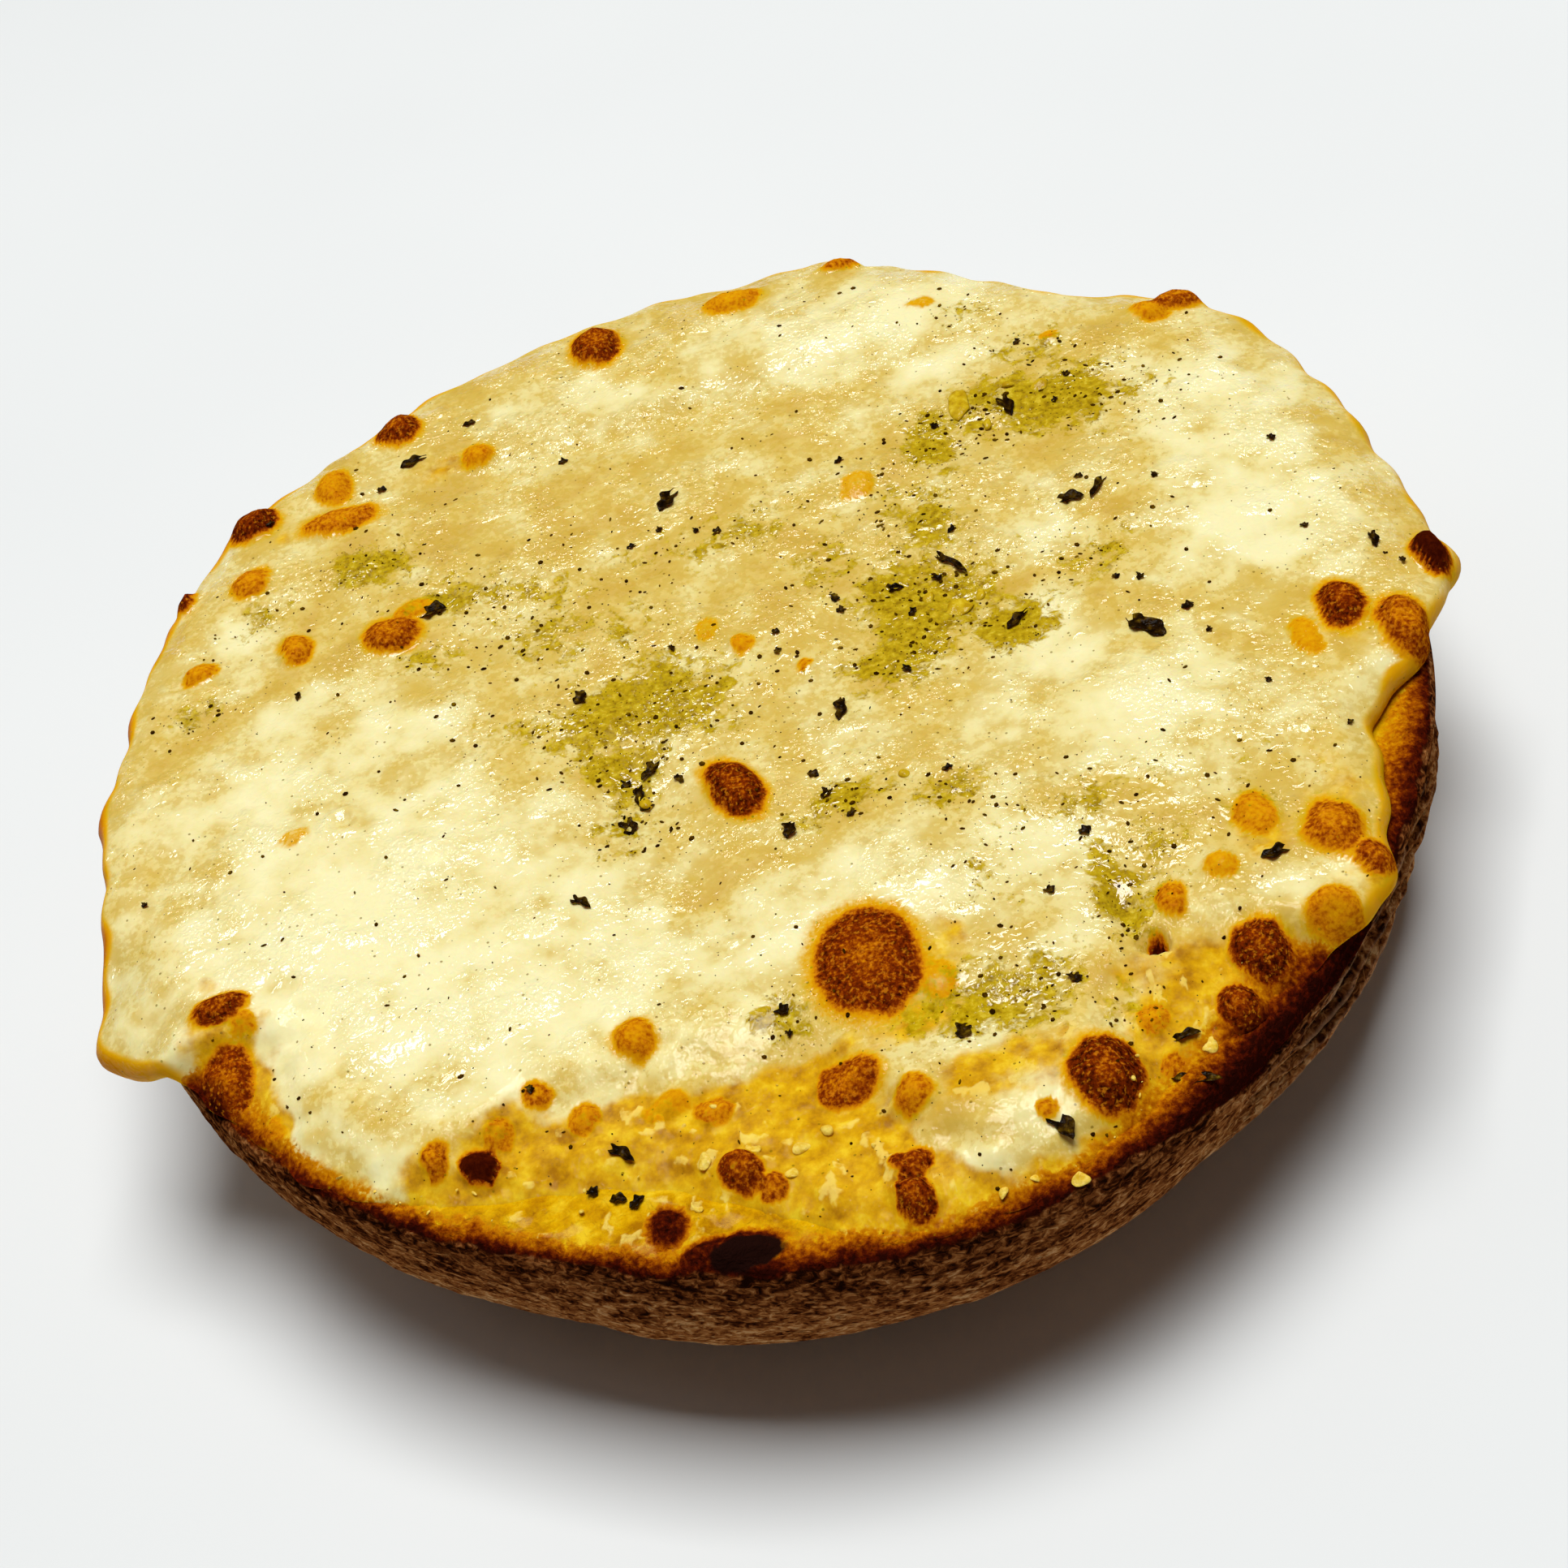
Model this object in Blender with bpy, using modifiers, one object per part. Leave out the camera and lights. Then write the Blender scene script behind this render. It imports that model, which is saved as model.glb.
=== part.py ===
"""Half of a cheese bagel, lying on its crust with the melted cheese up.

The bread is a turned half bagel whose outline is uneven, with a rounded toasted rim
and a torn seam on one side. The cheese is one melted sheet over the cut face: its
edge is lobed and hangs over the rim in places, and it has mounds, hollows, browned
blisters and the larger flakes of dried herb sunk into its top.

Lengths are in millimetres and are multiplied by MM where a mesh is made. Angles are
in degrees, anticlockwise seen from above, with 0 along +X. Heights of the cheese are
counted from the cut face of the bread. The origin is on the ground, under the middle.
"""
import math
import random

import bmesh
import bpy
import numpy
from mathutils import Matrix, Vector

MM = 0.001

# The bread.
BREAD_HEIGHT = 21.0
BREAD_RADIUS = 52.0
RIM_ROUNDING = 2.0
RIM_DROP = 1.5
BASE_RADIUS = 30.0
NAVEL_RADIUS = 4.6
NAVEL_DEPTH = 5.0
BREAD_STEPS = 72
SIDE_RINGS = 17

# The cheese.
SHEET_THICKNESS = 2.5
SHEET_GAP = 0.3
FILM_THICKNESS = 1.0
EDGE_SHARE = 0.74
EDGE_TAPER = 4.0
LIP_CLEARANCE = 1.0
SHEET_STEPS = 216
SHEET_FACES = 7300

# Where the middle of the cut face stands, so that the whole is centred on the origin.
MIDDLE = Vector((-0.25, -0.5))

# Radius of the bread's rim at a few clock angles.
BREAD_RIM = [
    (0, 51.4), (45, 51.2), (90, 51.6), (135, 52.0), (180, 52.2), (205, 52.2), (225, 51.9),
    (233, 51.4), (241, 51.2), (250, 51.8), (262, 52.6), (274, 53.2), (283, 53.2), (292, 52.4),
    (300, 51.6), (312, 51.2), (324, 51.2), (340, 51.4),
]

# How full the side of the bread is by angle: 2 is a quarter of an ellipse, more bulges.
BREAD_BELLY = [
    (0, 2.0), (206, 2.0), (215, 2.15), (227, 2.4), (236, 2.6), (246, 2.45), (253, 2.3), (262, 2.15),
    (270, 2.05), (277, 1.85), (284, 1.75), (290, 1.85), (298, 2.0), (340, 2.0),
]

# Radius of the cheese's edge, lobe by lobe.
CHEESE_EDGE = [
    (0, 53.8), (9, 54.2), (18, 54.9), (26, 56.2), (32, 57.0), (37, 56.4), (42, 54.0), (48, 51.8),
    (54, 52.2), (62, 53.3), (67, 54.4), (72, 56.0), (77, 54.8), (82, 53.7), (92, 53.6), (107, 53.2),
    (118, 53.7), (127, 53.7), (134, 55.4), (140, 55.4), (146, 54.6), (155, 53.5), (165, 52.8),
    (172, 53.5), (178, 52.7), (184, 53.1), (190, 54.9), (195, 56.5), (198, 56.0), (202, 53.2),
    (205, 52.0), (212, 51.6), (220, 51.5), (228, 50.6), (234, 49.4), (239, 47.6), (244, 46.0),
    (251, 46.0), (256, 47.2), (261, 48.9), (266, 51.4), (273, 52.6), (282, 52.3), (288, 51.6),
    (293, 50.4), (299, 50.6), (307, 50.4), (312, 51.4), (318, 52.6), (323, 50.6), (330, 48.3),
    (334, 47.2), (338, 47.6), (343, 51.0), (350, 52.8), (354, 54.9),
]

# Where the thick cheese ends and a thin film goes on. Beyond the edge there is no film.
THICK_EDGE = [
    (0, 66.0), (180, 66.0), (198, 66.0), (202, 60.0), (204, 50.5), (206, 48.6), (209, 46.6),
    (212, 49.4), (218, 50.6), (225, 50.4), (230, 49.4), (232, 47.0), (234, 43.6), (238, 41.6),
    (243, 39.4), (249, 38.2), (256, 37.8), (262, 36.6), (266, 37.0), (270, 42.0), (274, 47.0),
    (278, 50.2), (284, 51.0), (288, 50.4), (291, 48.6), (293, 45.8), (296, 44.0), (301, 45.0),
    (306, 45.2), (309, 47.6), (311, 52.0), (318, 62.0), (330, 66.0),
]

# How far the cheese droops where it hangs well over the rim.
LIP_DROOP = [
    (0, 1.2), (30, 0.8), (50, 0.3), (130, 0.3), (155, 0.9), (180, 1.6), (197, 2.2), (205, 0.8),
    (225, 0.4), (315, 0.5), (345, 1.0),
]

# Broad mounds and hollows of the cheese: x, y, reach in x, reach in y, height.
RELIEF = [
    (-32.0, -8.0, 19.0, 17.0, 0.9),
    (-10.8, -8.1, 4.6, 4.2, -1.1),
    (-9.4, -16.0, 4.0, 8.0, -0.8),
    (3.1, 5.5, 4.6, 3.8, 0.6),
    (8.2, -20.5, 10.0, 6.5, 0.8),
    (26.7, -14.0, 11.0, 10.0, 0.8),
    (14.0, 42.0, 17.0, 7.0, 0.7),
    (36.0, 16.0, 9.0, 14.0, 0.7),
    (-16.0, 35.5, 15.0, 2.6, -0.7),
    (6.0, 36.0, 14.0, 2.4, -0.6),
    (-22.0, 14.0, 9.0, 4.0, -0.5),
    (15.8, 3.0, 9.0, 7.0, -0.5),
    (31.0, 22.0, 9.0, 5.0, -0.4),
    (-1.0, -35.5, 9.0, 3.0, -0.7),
    (22.0, -30.5, 3.0, 5.0, -0.7),
    (12.0, -38.0, 6.0, 3.0, -0.5),
]

# Browned blisters of the cheese: x, y, width, depth, height, and a turn where there is one.
BLISTERS = [
    (2.3, -30.1, 8.4, 10.2, 0.7), (15.6, -44.9, 5.6, 6.4, 1.3), (25.7, -41.9, 3.4, 4.4, 1.1),
    (28.5, -38.0, 4.6, 5.2, 1.4), (34.1, -37.1, 4.4, 4.2, 0.9), (23.9, -32.1, 2.4, 3.1, 0.6),
    (27.9, -30.6, 2.8, 2.7, 0.5), (31.8, -26.8, 3.4, 5.0, 0.6), (36.4, -29.9, 4.6, 5.4, 0.7),
    (38.3, -33.2, 3.0, 3.3, 0.7), (44.3, -8.8, 3.9, 5.7, 1.1), (47.9, -12.7, 4.4, 6.6, 1.5),
    (40.7, -11.0, 2.4, 4.7, 0.4), (52.6, -5.2, 3.0, 5.5, 1.6), (-5.2, 48.6, 5.0, 6.0, 1.2),
    (7.5, 49.7, 5.7, 4.1, 0.7), (17.9, 50.9, 4.1, 2.2, 0.8), (44.0, 33.2, 5.6, 3.0, 1.0),
    (41.2, 32.2, 3.5, 3.4, 0.7), (-24.0, 45.0, 4.4, 4.6, 1.0), (-17.4, 38.6, 3.0, 3.1, 0.7),
    (-30.4, 39.7, 3.4, 5.0, 0.7), (-30.2, 34.9, 7.6, 3.7, 0.8), (-37.8, 38.0, 5.0, 4.9, 1.2),
    (-38.6, 29.8, 3.8, 4.0, 0.8), (-44.7, 30.9, 2.4, 3.4, 1.2), (-27.2, 18.2, 5.3, 4.4, 0.9),
    (-35.3, 19.6, 3.2, 4.0, 0.8), (-43.4, 20.0, 3.0, 2.6, 0.6), (-3.5, -10.0, 7.4, 4.0, 1.0, -69.0),
    (-14.7, -31.0, 3.4, 3.7, 0.7), (-44.1, -17.5, 4.7, 3.0, 0.8), (-42.3, -19.3, 2.2, 2.4, 0.4),
    (-44.5, -22.9, 4.6, 6.0, 1.1), (-41.6, -28.4, 2.2, 2.5, 0.5), (-27.1, -37.2, 3.1, 3.0, 1.0),
    (-25.5, -35.2, 2.8, 2.6, 0.6), (-30.3, -36.2, 2.2, 2.6, 0.6), (-22.3, -33.0, 2.2, 2.4, 0.4),
    (-19.6, -35.8, 2.5, 2.4, 0.5), (-10.8, -38.2, 3.1, 3.0, 0.6), (-13.8, -36.7, 4.0, 2.4, 0.3),
    (-1.3, -39.1, 4.9, 4.4, 0.6), (2.8, -42.3, 3.3, 3.0, 0.6), (-9.7, -43.6, 3.6, 3.5, 1.0),
    (-7.8, -45.4, 2.2, 2.4, 0.6), (1.4, -46.9, 3.5, 2.2, 0.9), (1.0, -49.5, 3.0, 4.0, 1.2),
    (19.9, -41.0, 2.7, 2.8, 0.5), (12.7, 20.3, 3.5, 3.5, 0.4), (-0.1, 5.2, 2.0, 2.4, 0.4),
    (-33.2, -2.5, 3.2, 3.0, 0.3), (-26.5, -8.6, 3.1, 2.9, 0.3),
]

# Lumps of burnt cheese on the bare rim of the bread: x, y, width, depth, height.
RIM_LUMPS = [(-12.0, -49.1, 6.8, 2.6, 0.9), (-15.5, -45.8, 2.6, 3.0, 0.7)]

# The larger herb flakes on the cheese: x, y, length, width, turn.
CHEESE_FLAKES = [
    (-13.1, -8.4, 2.8, 0.7, 141), (-12.0, -10.1, 2.4, 1.1, 92), (-9.8, -10.7, 2.7, 0.8, 144),
    (-9.3, -5.0, 2.5, 0.8, 46), (-16.6, -17.0, 2.3, 0.8, 125), (6.1, -29.5, 3.3, 0.6, 119),
    (5.9, -4.7, 2.6, 0.8, 71), (7.5, -5.0, 1.7, 0.6, 134), (-2.6, 25.2, 3.0, 1.2, 45),
    (-23.1, 40.0, 2.6, 0.8, 14), (-26.3, 37.6, 1.4, 0.9, 160), (26.7, 25.1, 3.4, 1.0, 95),
    (28.4, 11.2, 2.4, 1.1, 170), (31.0, 11.7, 3.2, 0.9, 48), (17.6, 8.4, 4.6, 0.8, 118),
    (29.9, -5.4, 4.1, 1.6, 118), (33.5, -4.5, 1.4, 0.9, 1), (21.0, -0.4, 2.7, 0.8, 35),
    (11.6, -47.5, 3.4, 1.2, 101), (-4.4, -31.9, 1.6, 1.0, 112), (31.9, -30.9, 2.4, 1.0, 0),
    (-23.7, 19.8, 2.4, 1.2, 169), (48.9, -2.6, 2.2, 0.8, 80), (45.3, 11.5, 1.4, 0.8, 91),
    (-17.6, -39.1, 2.8, 0.8, 129), (12.8, 7.2, 2.0, 0.8, 160), (-10.6, -7.0, 2.4, 0.9, 75),
    (20.8, -45.2, 3.4, 0.9, 156),
]

# The one that lies on the bare crumb.
CRUMB_FLAKES = [(-18.8, -43.4, 1.6, 0.9, 154)]

# Small flakes gather round the oily patches: x, y, spread, count.
FLAKE_PATCHES = [(-9.0, 1.5, 6.0, 5), (16.5, 4.5, 6.0, 6), (29.0, 24.0, 6.0, 5), (8.0, -14.0, 5.0, 3)]
FLAKE_SEED = 7
SMALL_FLAKE = (0.9, 1.6)
FLAKE_THICKNESS = 0.5

# The torn seam on the crust: a ledge that climbs towards the back as it goes round.
SEAM_ANGLE = 321.0
SEAM_HALF_WIDTH = 30.0
SEAM_HEIGHT = 13.0
SEAM_CLIMB = 0.12
SEAM_REACH = 3.2
SEAM_DEPTH = 1.2


def smooth_step(low, high, value):
    """0 below low, 1 above high, and an S curve between them."""
    share = numpy.clip((value - low) / (high - low), 0.0, 1.0)
    return share * share * (3.0 - 2.0 * share)


def closed_outline(table, blur):
    """The value at each whole degree, rounded off over a few degrees each way."""
    angles, values = zip(*table)
    outline = numpy.interp(numpy.arange(360), angles, values, period=360)
    shifts = range(-blur, blur + 1)
    return sum(numpy.roll(outline, shift) for shift in shifts) / len(shifts)


RIM_OUTLINE = closed_outline(BREAD_RIM, 2)
BELLY_OUTLINE = closed_outline(BREAD_BELLY, 4)
EDGE_OUTLINE = closed_outline(CHEESE_EDGE, 1)
THICK_OUTLINE = closed_outline(THICK_EDGE, 1)
DROOP_OUTLINE = closed_outline(LIP_DROOP, 3)


def value_at(outline, angle):
    return numpy.interp(angle, numpy.arange(360), outline, period=360)


def dome(x, y, bump):
    """The height that one oval bump adds at a place."""
    middle_x, middle_y, width, depth, height = bump[:5]
    turn = math.radians(bump[5]) if len(bump) > 5 else 0.0
    along = (x - middle_x) * math.cos(turn) + (y - middle_y) * math.sin(turn)
    across = (y - middle_y) * math.cos(turn) - (x - middle_x) * math.sin(turn)
    off = (along / (width / 2.0)) ** 2 + (across / (depth / 2.0)) ** 2
    return height * numpy.clip(1.0 - off, 0.0, 1.0) ** 0.8


def sheet_thickness(x, y):
    """How thick the cheese is away from its edge."""
    thickness = numpy.full_like(x, SHEET_THICKNESS)
    for middle_x, middle_y, reach_x, reach_y, height in RELIEF:
        off = ((x - middle_x) / reach_x) ** 2 + ((y - middle_y) / reach_y) ** 2
        thickness = thickness + height * numpy.exp(-off)
    ripple = 0.12 * numpy.sin(0.55 * x + 0.2 * y) * numpy.sin(0.5 * y - 0.25 * x)
    return thickness + ripple


def sheet_heights(radius, angle):
    """The underside and the top of the cheese, from the cut face."""
    x = radius * numpy.cos(numpy.radians(angle))
    y = radius * numpy.sin(numpy.radians(angle))
    edge = value_at(EDGE_OUTLINE, angle)
    rim = value_at(RIM_OUTLINE, angle)
    most_droop = value_at(DROOP_OUTLINE, angle)
    droop = most_droop * smooth_step(0.8, 3.0, edge - rim)
    past_rim = numpy.clip((radius - rim - LIP_CLEARANCE) / RIM_ROUNDING + 1.0, 0.0, 1.0)
    fall = (RIM_DROP + most_droop) * (1.0 - numpy.sqrt(1.0 - past_rim ** 2))
    under = SHEET_GAP - numpy.minimum(fall, droop)
    taper = EDGE_SHARE + (1.0 - EDGE_SHARE) * smooth_step(0.0, EDGE_TAPER, edge - radius)
    thick = smooth_step(-1.5, 6.0, value_at(THICK_OUTLINE, angle) - radius)
    body = FILM_THICKNESS * (1.0 - thick) + sheet_thickness(x, y) * taper * thick
    top = SHEET_GAP + body - droop * smooth_step(rim - 4.0, edge, radius)
    for blister in BLISTERS:
        top = top + dome(x, y, blister)
    return under, top


def turned(name, profile, steps, collection):
    """A closed solid of revolution about Z, from a half section given top to bottom."""
    mesh = bpy.data.meshes.new(name)
    corners = [(radius * MM, 0.0, height * MM) for radius, height in profile]
    mesh.from_pydata(corners, [(i, i + 1) for i in range(len(corners) - 1)], [])
    obj = bpy.data.objects.new(name, mesh)
    collection.objects.link(obj)
    screw = obj.modifiers.new("turn", "SCREW")
    screw.steps = steps
    screw.render_steps = steps
    screw.use_merge_vertices = True
    screw.merge_threshold = 0.00001
    apply_modifiers(obj)
    return obj


def apply_modifiers(obj):
    """Give an object the mesh that its modifiers make."""
    bpy.context.view_layer.update()
    evaluated = obj.evaluated_get(bpy.context.evaluated_depsgraph_get())
    mesh = bpy.data.meshes.new_from_object(evaluated)
    obj.modifiers.clear()
    obj.data = mesh


def reshape(obj, rule):
    """Move each vertex to where a rule puts it, in millimetres."""
    mesh = obj.data
    places = numpy.empty(len(mesh.vertices) * 3, dtype=numpy.float32)
    mesh.vertices.foreach_get("co", places)
    x, y, z = places.astype(float).reshape(-1, 3).T / MM
    moved = numpy.stack(rule(x, y, z), axis=1) * MM
    mesh.vertices.foreach_set("co", moved.astype(numpy.float32).ravel())
    mesh.update()


def bread_profile():
    """From the middle of the cut face, round the rim and down the crust to the navel."""
    flat_radius = BREAD_RADIUS - RIM_ROUNDING
    profile = [(radius, BREAD_HEIGHT) for radius in (0.0, 32.0, 44.0, 46.4, 48.4)]
    for step in range(5):
        turn = math.radians(22.5 * step)
        drop = RIM_DROP * (1.0 - math.cos(turn))
        profile.append((flat_radius + RIM_ROUNDING * math.sin(turn), BREAD_HEIGHT - drop))
    side_height = BREAD_HEIGHT - RIM_DROP
    for step in range(1, SIDE_RINGS + 1):
        turn = math.radians(90.0 * step / SIDE_RINGS)
        radius = BASE_RADIUS + (BREAD_RADIUS - BASE_RADIUS) * math.cos(turn)
        profile.append((radius, side_height * (1.0 - math.sin(turn))))
    profile += [(16.0, 0.0), (NAVEL_RADIUS + 1.2, 0.0), (NAVEL_RADIUS, 0.9)]
    profile += [(NAVEL_RADIUS * 0.75, NAVEL_DEPTH * 0.75), (0.0, NAVEL_DEPTH)]
    return profile


def full_belly(radius, z, angle):
    """Swell or slim the side, from a quarter of an ellipse to a fuller or leaner curve."""
    power = value_at(BELLY_OUTLINE, angle)
    side_height = BREAD_HEIGHT - RIM_DROP
    down = numpy.clip((side_height - z) / side_height, 0.0, 1.0)
    out = (1.0 - down ** power) ** (1.0 / power)
    on_side = (z < side_height) & (radius > BASE_RADIUS)
    return numpy.where(on_side, BASE_RADIUS + (BREAD_RADIUS - BASE_RADIUS) * out, radius)


def bread_rule(x, y, z):
    """Give the turned bread its uneven outline, soft dents, torn seam and rim lumps."""
    radius = numpy.hypot(x, y)
    angle = numpy.degrees(numpy.arctan2(y, x)) % 360.0
    turn = numpy.radians(angle)
    outer = smooth_step(18.0, 44.0, radius)
    base_wobble = 1.2 * numpy.sin(2.0 * turn + 0.6) + 0.7 * numpy.sin(5.0 * turn + 2.0)
    low = smooth_step(44.0, 30.0, radius) * smooth_step(12.0, 26.0, radius)
    factor = 1.0 + (value_at(RIM_OUTLINE, angle) / BREAD_RADIUS - 1.0) * outer
    side = numpy.sin(math.pi * numpy.clip(z / (BREAD_HEIGHT - RIM_DROP), 0.0, 1.0))
    dents = 0.5 * side * numpy.sin(4.0 * turn + 1.0) + 0.3 * side * numpy.sin(11.0 * turn + 0.35 * z)
    near_seam = smooth_step(1.0, 0.45, numpy.abs(angle - SEAM_ANGLE) / SEAM_HALF_WIDTH)
    above_seam = (z - SEAM_HEIGHT - SEAM_CLIMB * (angle - SEAM_ANGLE)) / SEAM_REACH
    ledge = -SEAM_DEPTH * near_seam * 2.33 * above_seam * numpy.exp(-above_seam ** 2)
    crust = smooth_step(BREAD_HEIGHT - RIM_DROP + 0.1, BREAD_HEIGHT - RIM_DROP - 0.4, z)
    grown = full_belly(radius, z, angle) * factor + base_wobble * low
    grown = grown + (dents + ledge) * crust * outer
    scale = grown / numpy.maximum(radius, 0.001)
    new_x, new_y = x * scale, y * scale
    on_top = smooth_step(BREAD_HEIGHT - RIM_DROP - 0.5, BREAD_HEIGHT - RIM_DROP + 0.5, z)
    lumps = sum(dome(new_x, new_y, lump) for lump in RIM_LUMPS)
    return new_x, new_y, z + lumps * on_top


def sheet_profile():
    """A flat disc of radius 1 with a rounded edge; its height runs from 1 to -1."""
    top = [(radius, 1.0) for radius in numpy.linspace(0.0, 0.988, 46)]
    edge = [(0.997, 0.55), (1.0, 0.0), (0.997, -0.55)]
    under = [(radius, -1.0) for radius in numpy.linspace(0.988, 0.90, 14)]
    middle = [(radius, -1.0) for radius in numpy.linspace(0.80, 0.0, 5)]
    return [(radius / MM, height / MM) for radius, height in top + edge + under + middle]


def sheet_rule(x, y, z):
    """Spread the disc to the cheese's edge, between its underside and its top."""
    angle = numpy.degrees(numpy.arctan2(y, x)) % 360.0
    radius = numpy.hypot(x, y) * MM * value_at(EDGE_OUTLINE, angle)
    under, top = sheet_heights(radius, angle)
    height = BREAD_HEIGHT + under + (top - under) * (z * MM + 1.0) / 2.0
    return radius * numpy.cos(numpy.radians(angle)), radius * numpy.sin(numpy.radians(angle)), height


def cheese_top(x, y):
    """The height of the cheese's top above the ground at one place."""
    angle = numpy.array([math.degrees(math.atan2(y, x)) % 360.0])
    under, top = sheet_heights(numpy.array([math.hypot(x, y)]), angle)
    return BREAD_HEIGHT + float(top[0])


def small_flakes():
    """Flakes drawn at random round the oily patches."""
    draw = random.Random(FLAKE_SEED)
    flakes = []
    for x, y, spread, count in FLAKE_PATCHES:
        for _ in range(count):
            length = draw.uniform(*SMALL_FLAKE)
            place = (draw.gauss(x, spread / 2.0), draw.gauss(y, spread / 2.0))
            flakes.append((*place, length, length * 0.55, draw.uniform(0.0, 180.0)))
    return flakes


def add_flake(collection, x, y, height, length, width, turn):
    """A thin pointed flake, half sunk in the surface at that height."""
    mesh = bpy.data.meshes.new("flake")
    shape = bmesh.new()
    bmesh.ops.create_icosphere(shape, subdivisions=1, radius=1.0)
    size = Matrix.Diagonal((length / 2.0, width / 2.0, FLAKE_THICKNESS, 1.0))
    spin = Matrix.Rotation(math.radians(turn), 4, "Z")
    shape.transform(Matrix.Translation((x, y, height)) @ spin @ size)
    shape.transform(Matrix.Scale(MM, 4))
    shape.to_mesh(mesh)
    shape.free()
    collection.objects.link(bpy.data.objects.new("flake", mesh))


def fuse(obj, toppings):
    """Join everything in a collection to an object, and empty the collection."""
    union = obj.modifiers.new("fuse", "BOOLEAN")
    union.operation = "UNION"
    union.operand_type = "COLLECTION"
    union.collection = toppings
    apply_modifiers(obj)
    for topping in list(toppings.objects):
        bpy.data.objects.remove(topping)


def finish_material(name, colour, roughness):
    material = bpy.data.materials.new(name)
    material.use_nodes = True
    shader = material.node_tree.nodes["Principled BSDF"]
    shader.inputs["Base Color"].default_value = (*colour, 1.0)
    shader.inputs["Roughness"].default_value = roughness
    shader.inputs["Metallic"].default_value = 0.0
    return material


def settle(obj, material):
    """Centre a finished piece, give it its material and shade it smooth."""
    obj.data.transform(Matrix.Translation((MIDDLE.x * MM, MIDDLE.y * MM, 0.0)))
    obj.data.materials.clear()
    obj.data.materials.append(material)
    obj.data.shade_smooth()


def make_bread(collection, toppings):
    bread = turned("bread", bread_profile(), BREAD_STEPS, collection)
    reshape(bread, bread_rule)
    for x, y, length, width, turn in CRUMB_FLAKES:
        add_flake(toppings, x, y, BREAD_HEIGHT + 0.1, length, width, turn)
    fuse(bread, toppings)
    settle(bread, finish_material("crust", (0.22, 0.10, 0.05), 0.75))


def make_cheese(collection, toppings):
    cheese = turned("cheese", sheet_profile(), SHEET_STEPS, collection)
    reshape(cheese, sheet_rule)
    decimate = cheese.modifiers.new("fewer faces", "DECIMATE")
    decimate.ratio = SHEET_FACES / (2.0 * len(cheese.data.polygons))
    decimate.use_collapse_triangulate = True
    apply_modifiers(cheese)
    for x, y, length, width, turn in CHEESE_FLAKES + small_flakes():
        add_flake(toppings, x, y, cheese_top(x, y) + 0.1, length, width, turn)
    fuse(cheese, toppings)
    settle(cheese, finish_material("melted cheese", (0.80, 0.68, 0.40), 0.35))


def main():
    for obj in list(bpy.data.objects):
        bpy.data.objects.remove(obj)
    collection = bpy.data.collections.new("cheese bagel")
    toppings = bpy.data.collections.new("toppings")
    bpy.context.scene.collection.children.link(collection)
    bpy.context.scene.collection.children.link(toppings)
    make_bread(collection, toppings)
    make_cheese(collection, toppings)


main()
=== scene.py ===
# %% [markdown]
# # Half a cheese bagel, fresh from the grill
#
# A bagel is cut in two, laid on its crust and grilled under cheese and dried herbs. Two
# things make the picture. The bread shows its toasted rim and a strip of buttery crumb at
# the front. The cheese has melted into one sheet, blistered, browned, and caught the
# herbs. This lesson models both as fine meshes, kept where the plain solids already are.

# %% Load the part's solids as a fixed frame
import functools
import itertools
import math
import random

import bpy
import numpy as np
from mathutils import Matrix, Vector


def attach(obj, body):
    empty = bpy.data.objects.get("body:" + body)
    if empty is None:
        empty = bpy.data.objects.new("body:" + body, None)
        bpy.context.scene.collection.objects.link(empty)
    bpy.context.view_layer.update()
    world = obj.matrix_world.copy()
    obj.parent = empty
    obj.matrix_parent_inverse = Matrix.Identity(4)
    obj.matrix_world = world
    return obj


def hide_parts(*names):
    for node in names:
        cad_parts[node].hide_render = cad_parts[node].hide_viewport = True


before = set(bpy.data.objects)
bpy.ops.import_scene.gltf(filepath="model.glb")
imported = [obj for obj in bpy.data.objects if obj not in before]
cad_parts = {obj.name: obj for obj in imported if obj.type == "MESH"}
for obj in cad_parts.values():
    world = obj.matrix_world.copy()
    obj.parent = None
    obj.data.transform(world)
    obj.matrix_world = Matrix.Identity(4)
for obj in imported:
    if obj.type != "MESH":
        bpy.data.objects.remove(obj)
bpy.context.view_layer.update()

# %% [markdown]
# ## The measures
#
# A baker would give every size in millimetres, so this file does too, and multiplies by
# MM where Blender wants metres. Places on the bagel are counted from the middle of the
# cut face: x to the right, y away from us, heights up from the cut face. Clock angles
# are in degrees, anticlockwise from above, and start on the right.

# %% Sizes of the bagel
MM = 0.001
CUT_HEIGHT = 21.0
BREAD_RADIUS = 52.0
RIM_ROUNDING = 2.0
RIM_DROP = 1.5
BASE_RADIUS = 30.0
NAVEL_RADIUS = 4.6
NAVEL_DEPTH = 5.0
SHEET_THICKNESS = 2.5
FILM_THICKNESS = 0.9
LIP_CLEARANCE = 0.45
MIDDLE = (-0.25, -0.5)
print("half a bagel", 2 * BREAD_RADIUS, "mm across and", CUT_HEIGHT, "mm high, under the cheese")

# %% [markdown]
# ## Outlines that are never quite round
#
# Dough and melted cheese both run to an uneven edge. A few radii at chosen clock angles
# say where the edge is. Between them the radius runs straight, and a short average
# rounds it off, as the surface tension of cheese would. Beside the outlines of the
# bread and of the cheese there is a third, where the thick white cheese ends: outside
# it the cheese is only a thin golden film on the crumb. Two more tables use the same
# clock: how full the belly of the crust is, where 2 is an ellipse, and how far the
# overhanging cheese droops.

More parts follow.
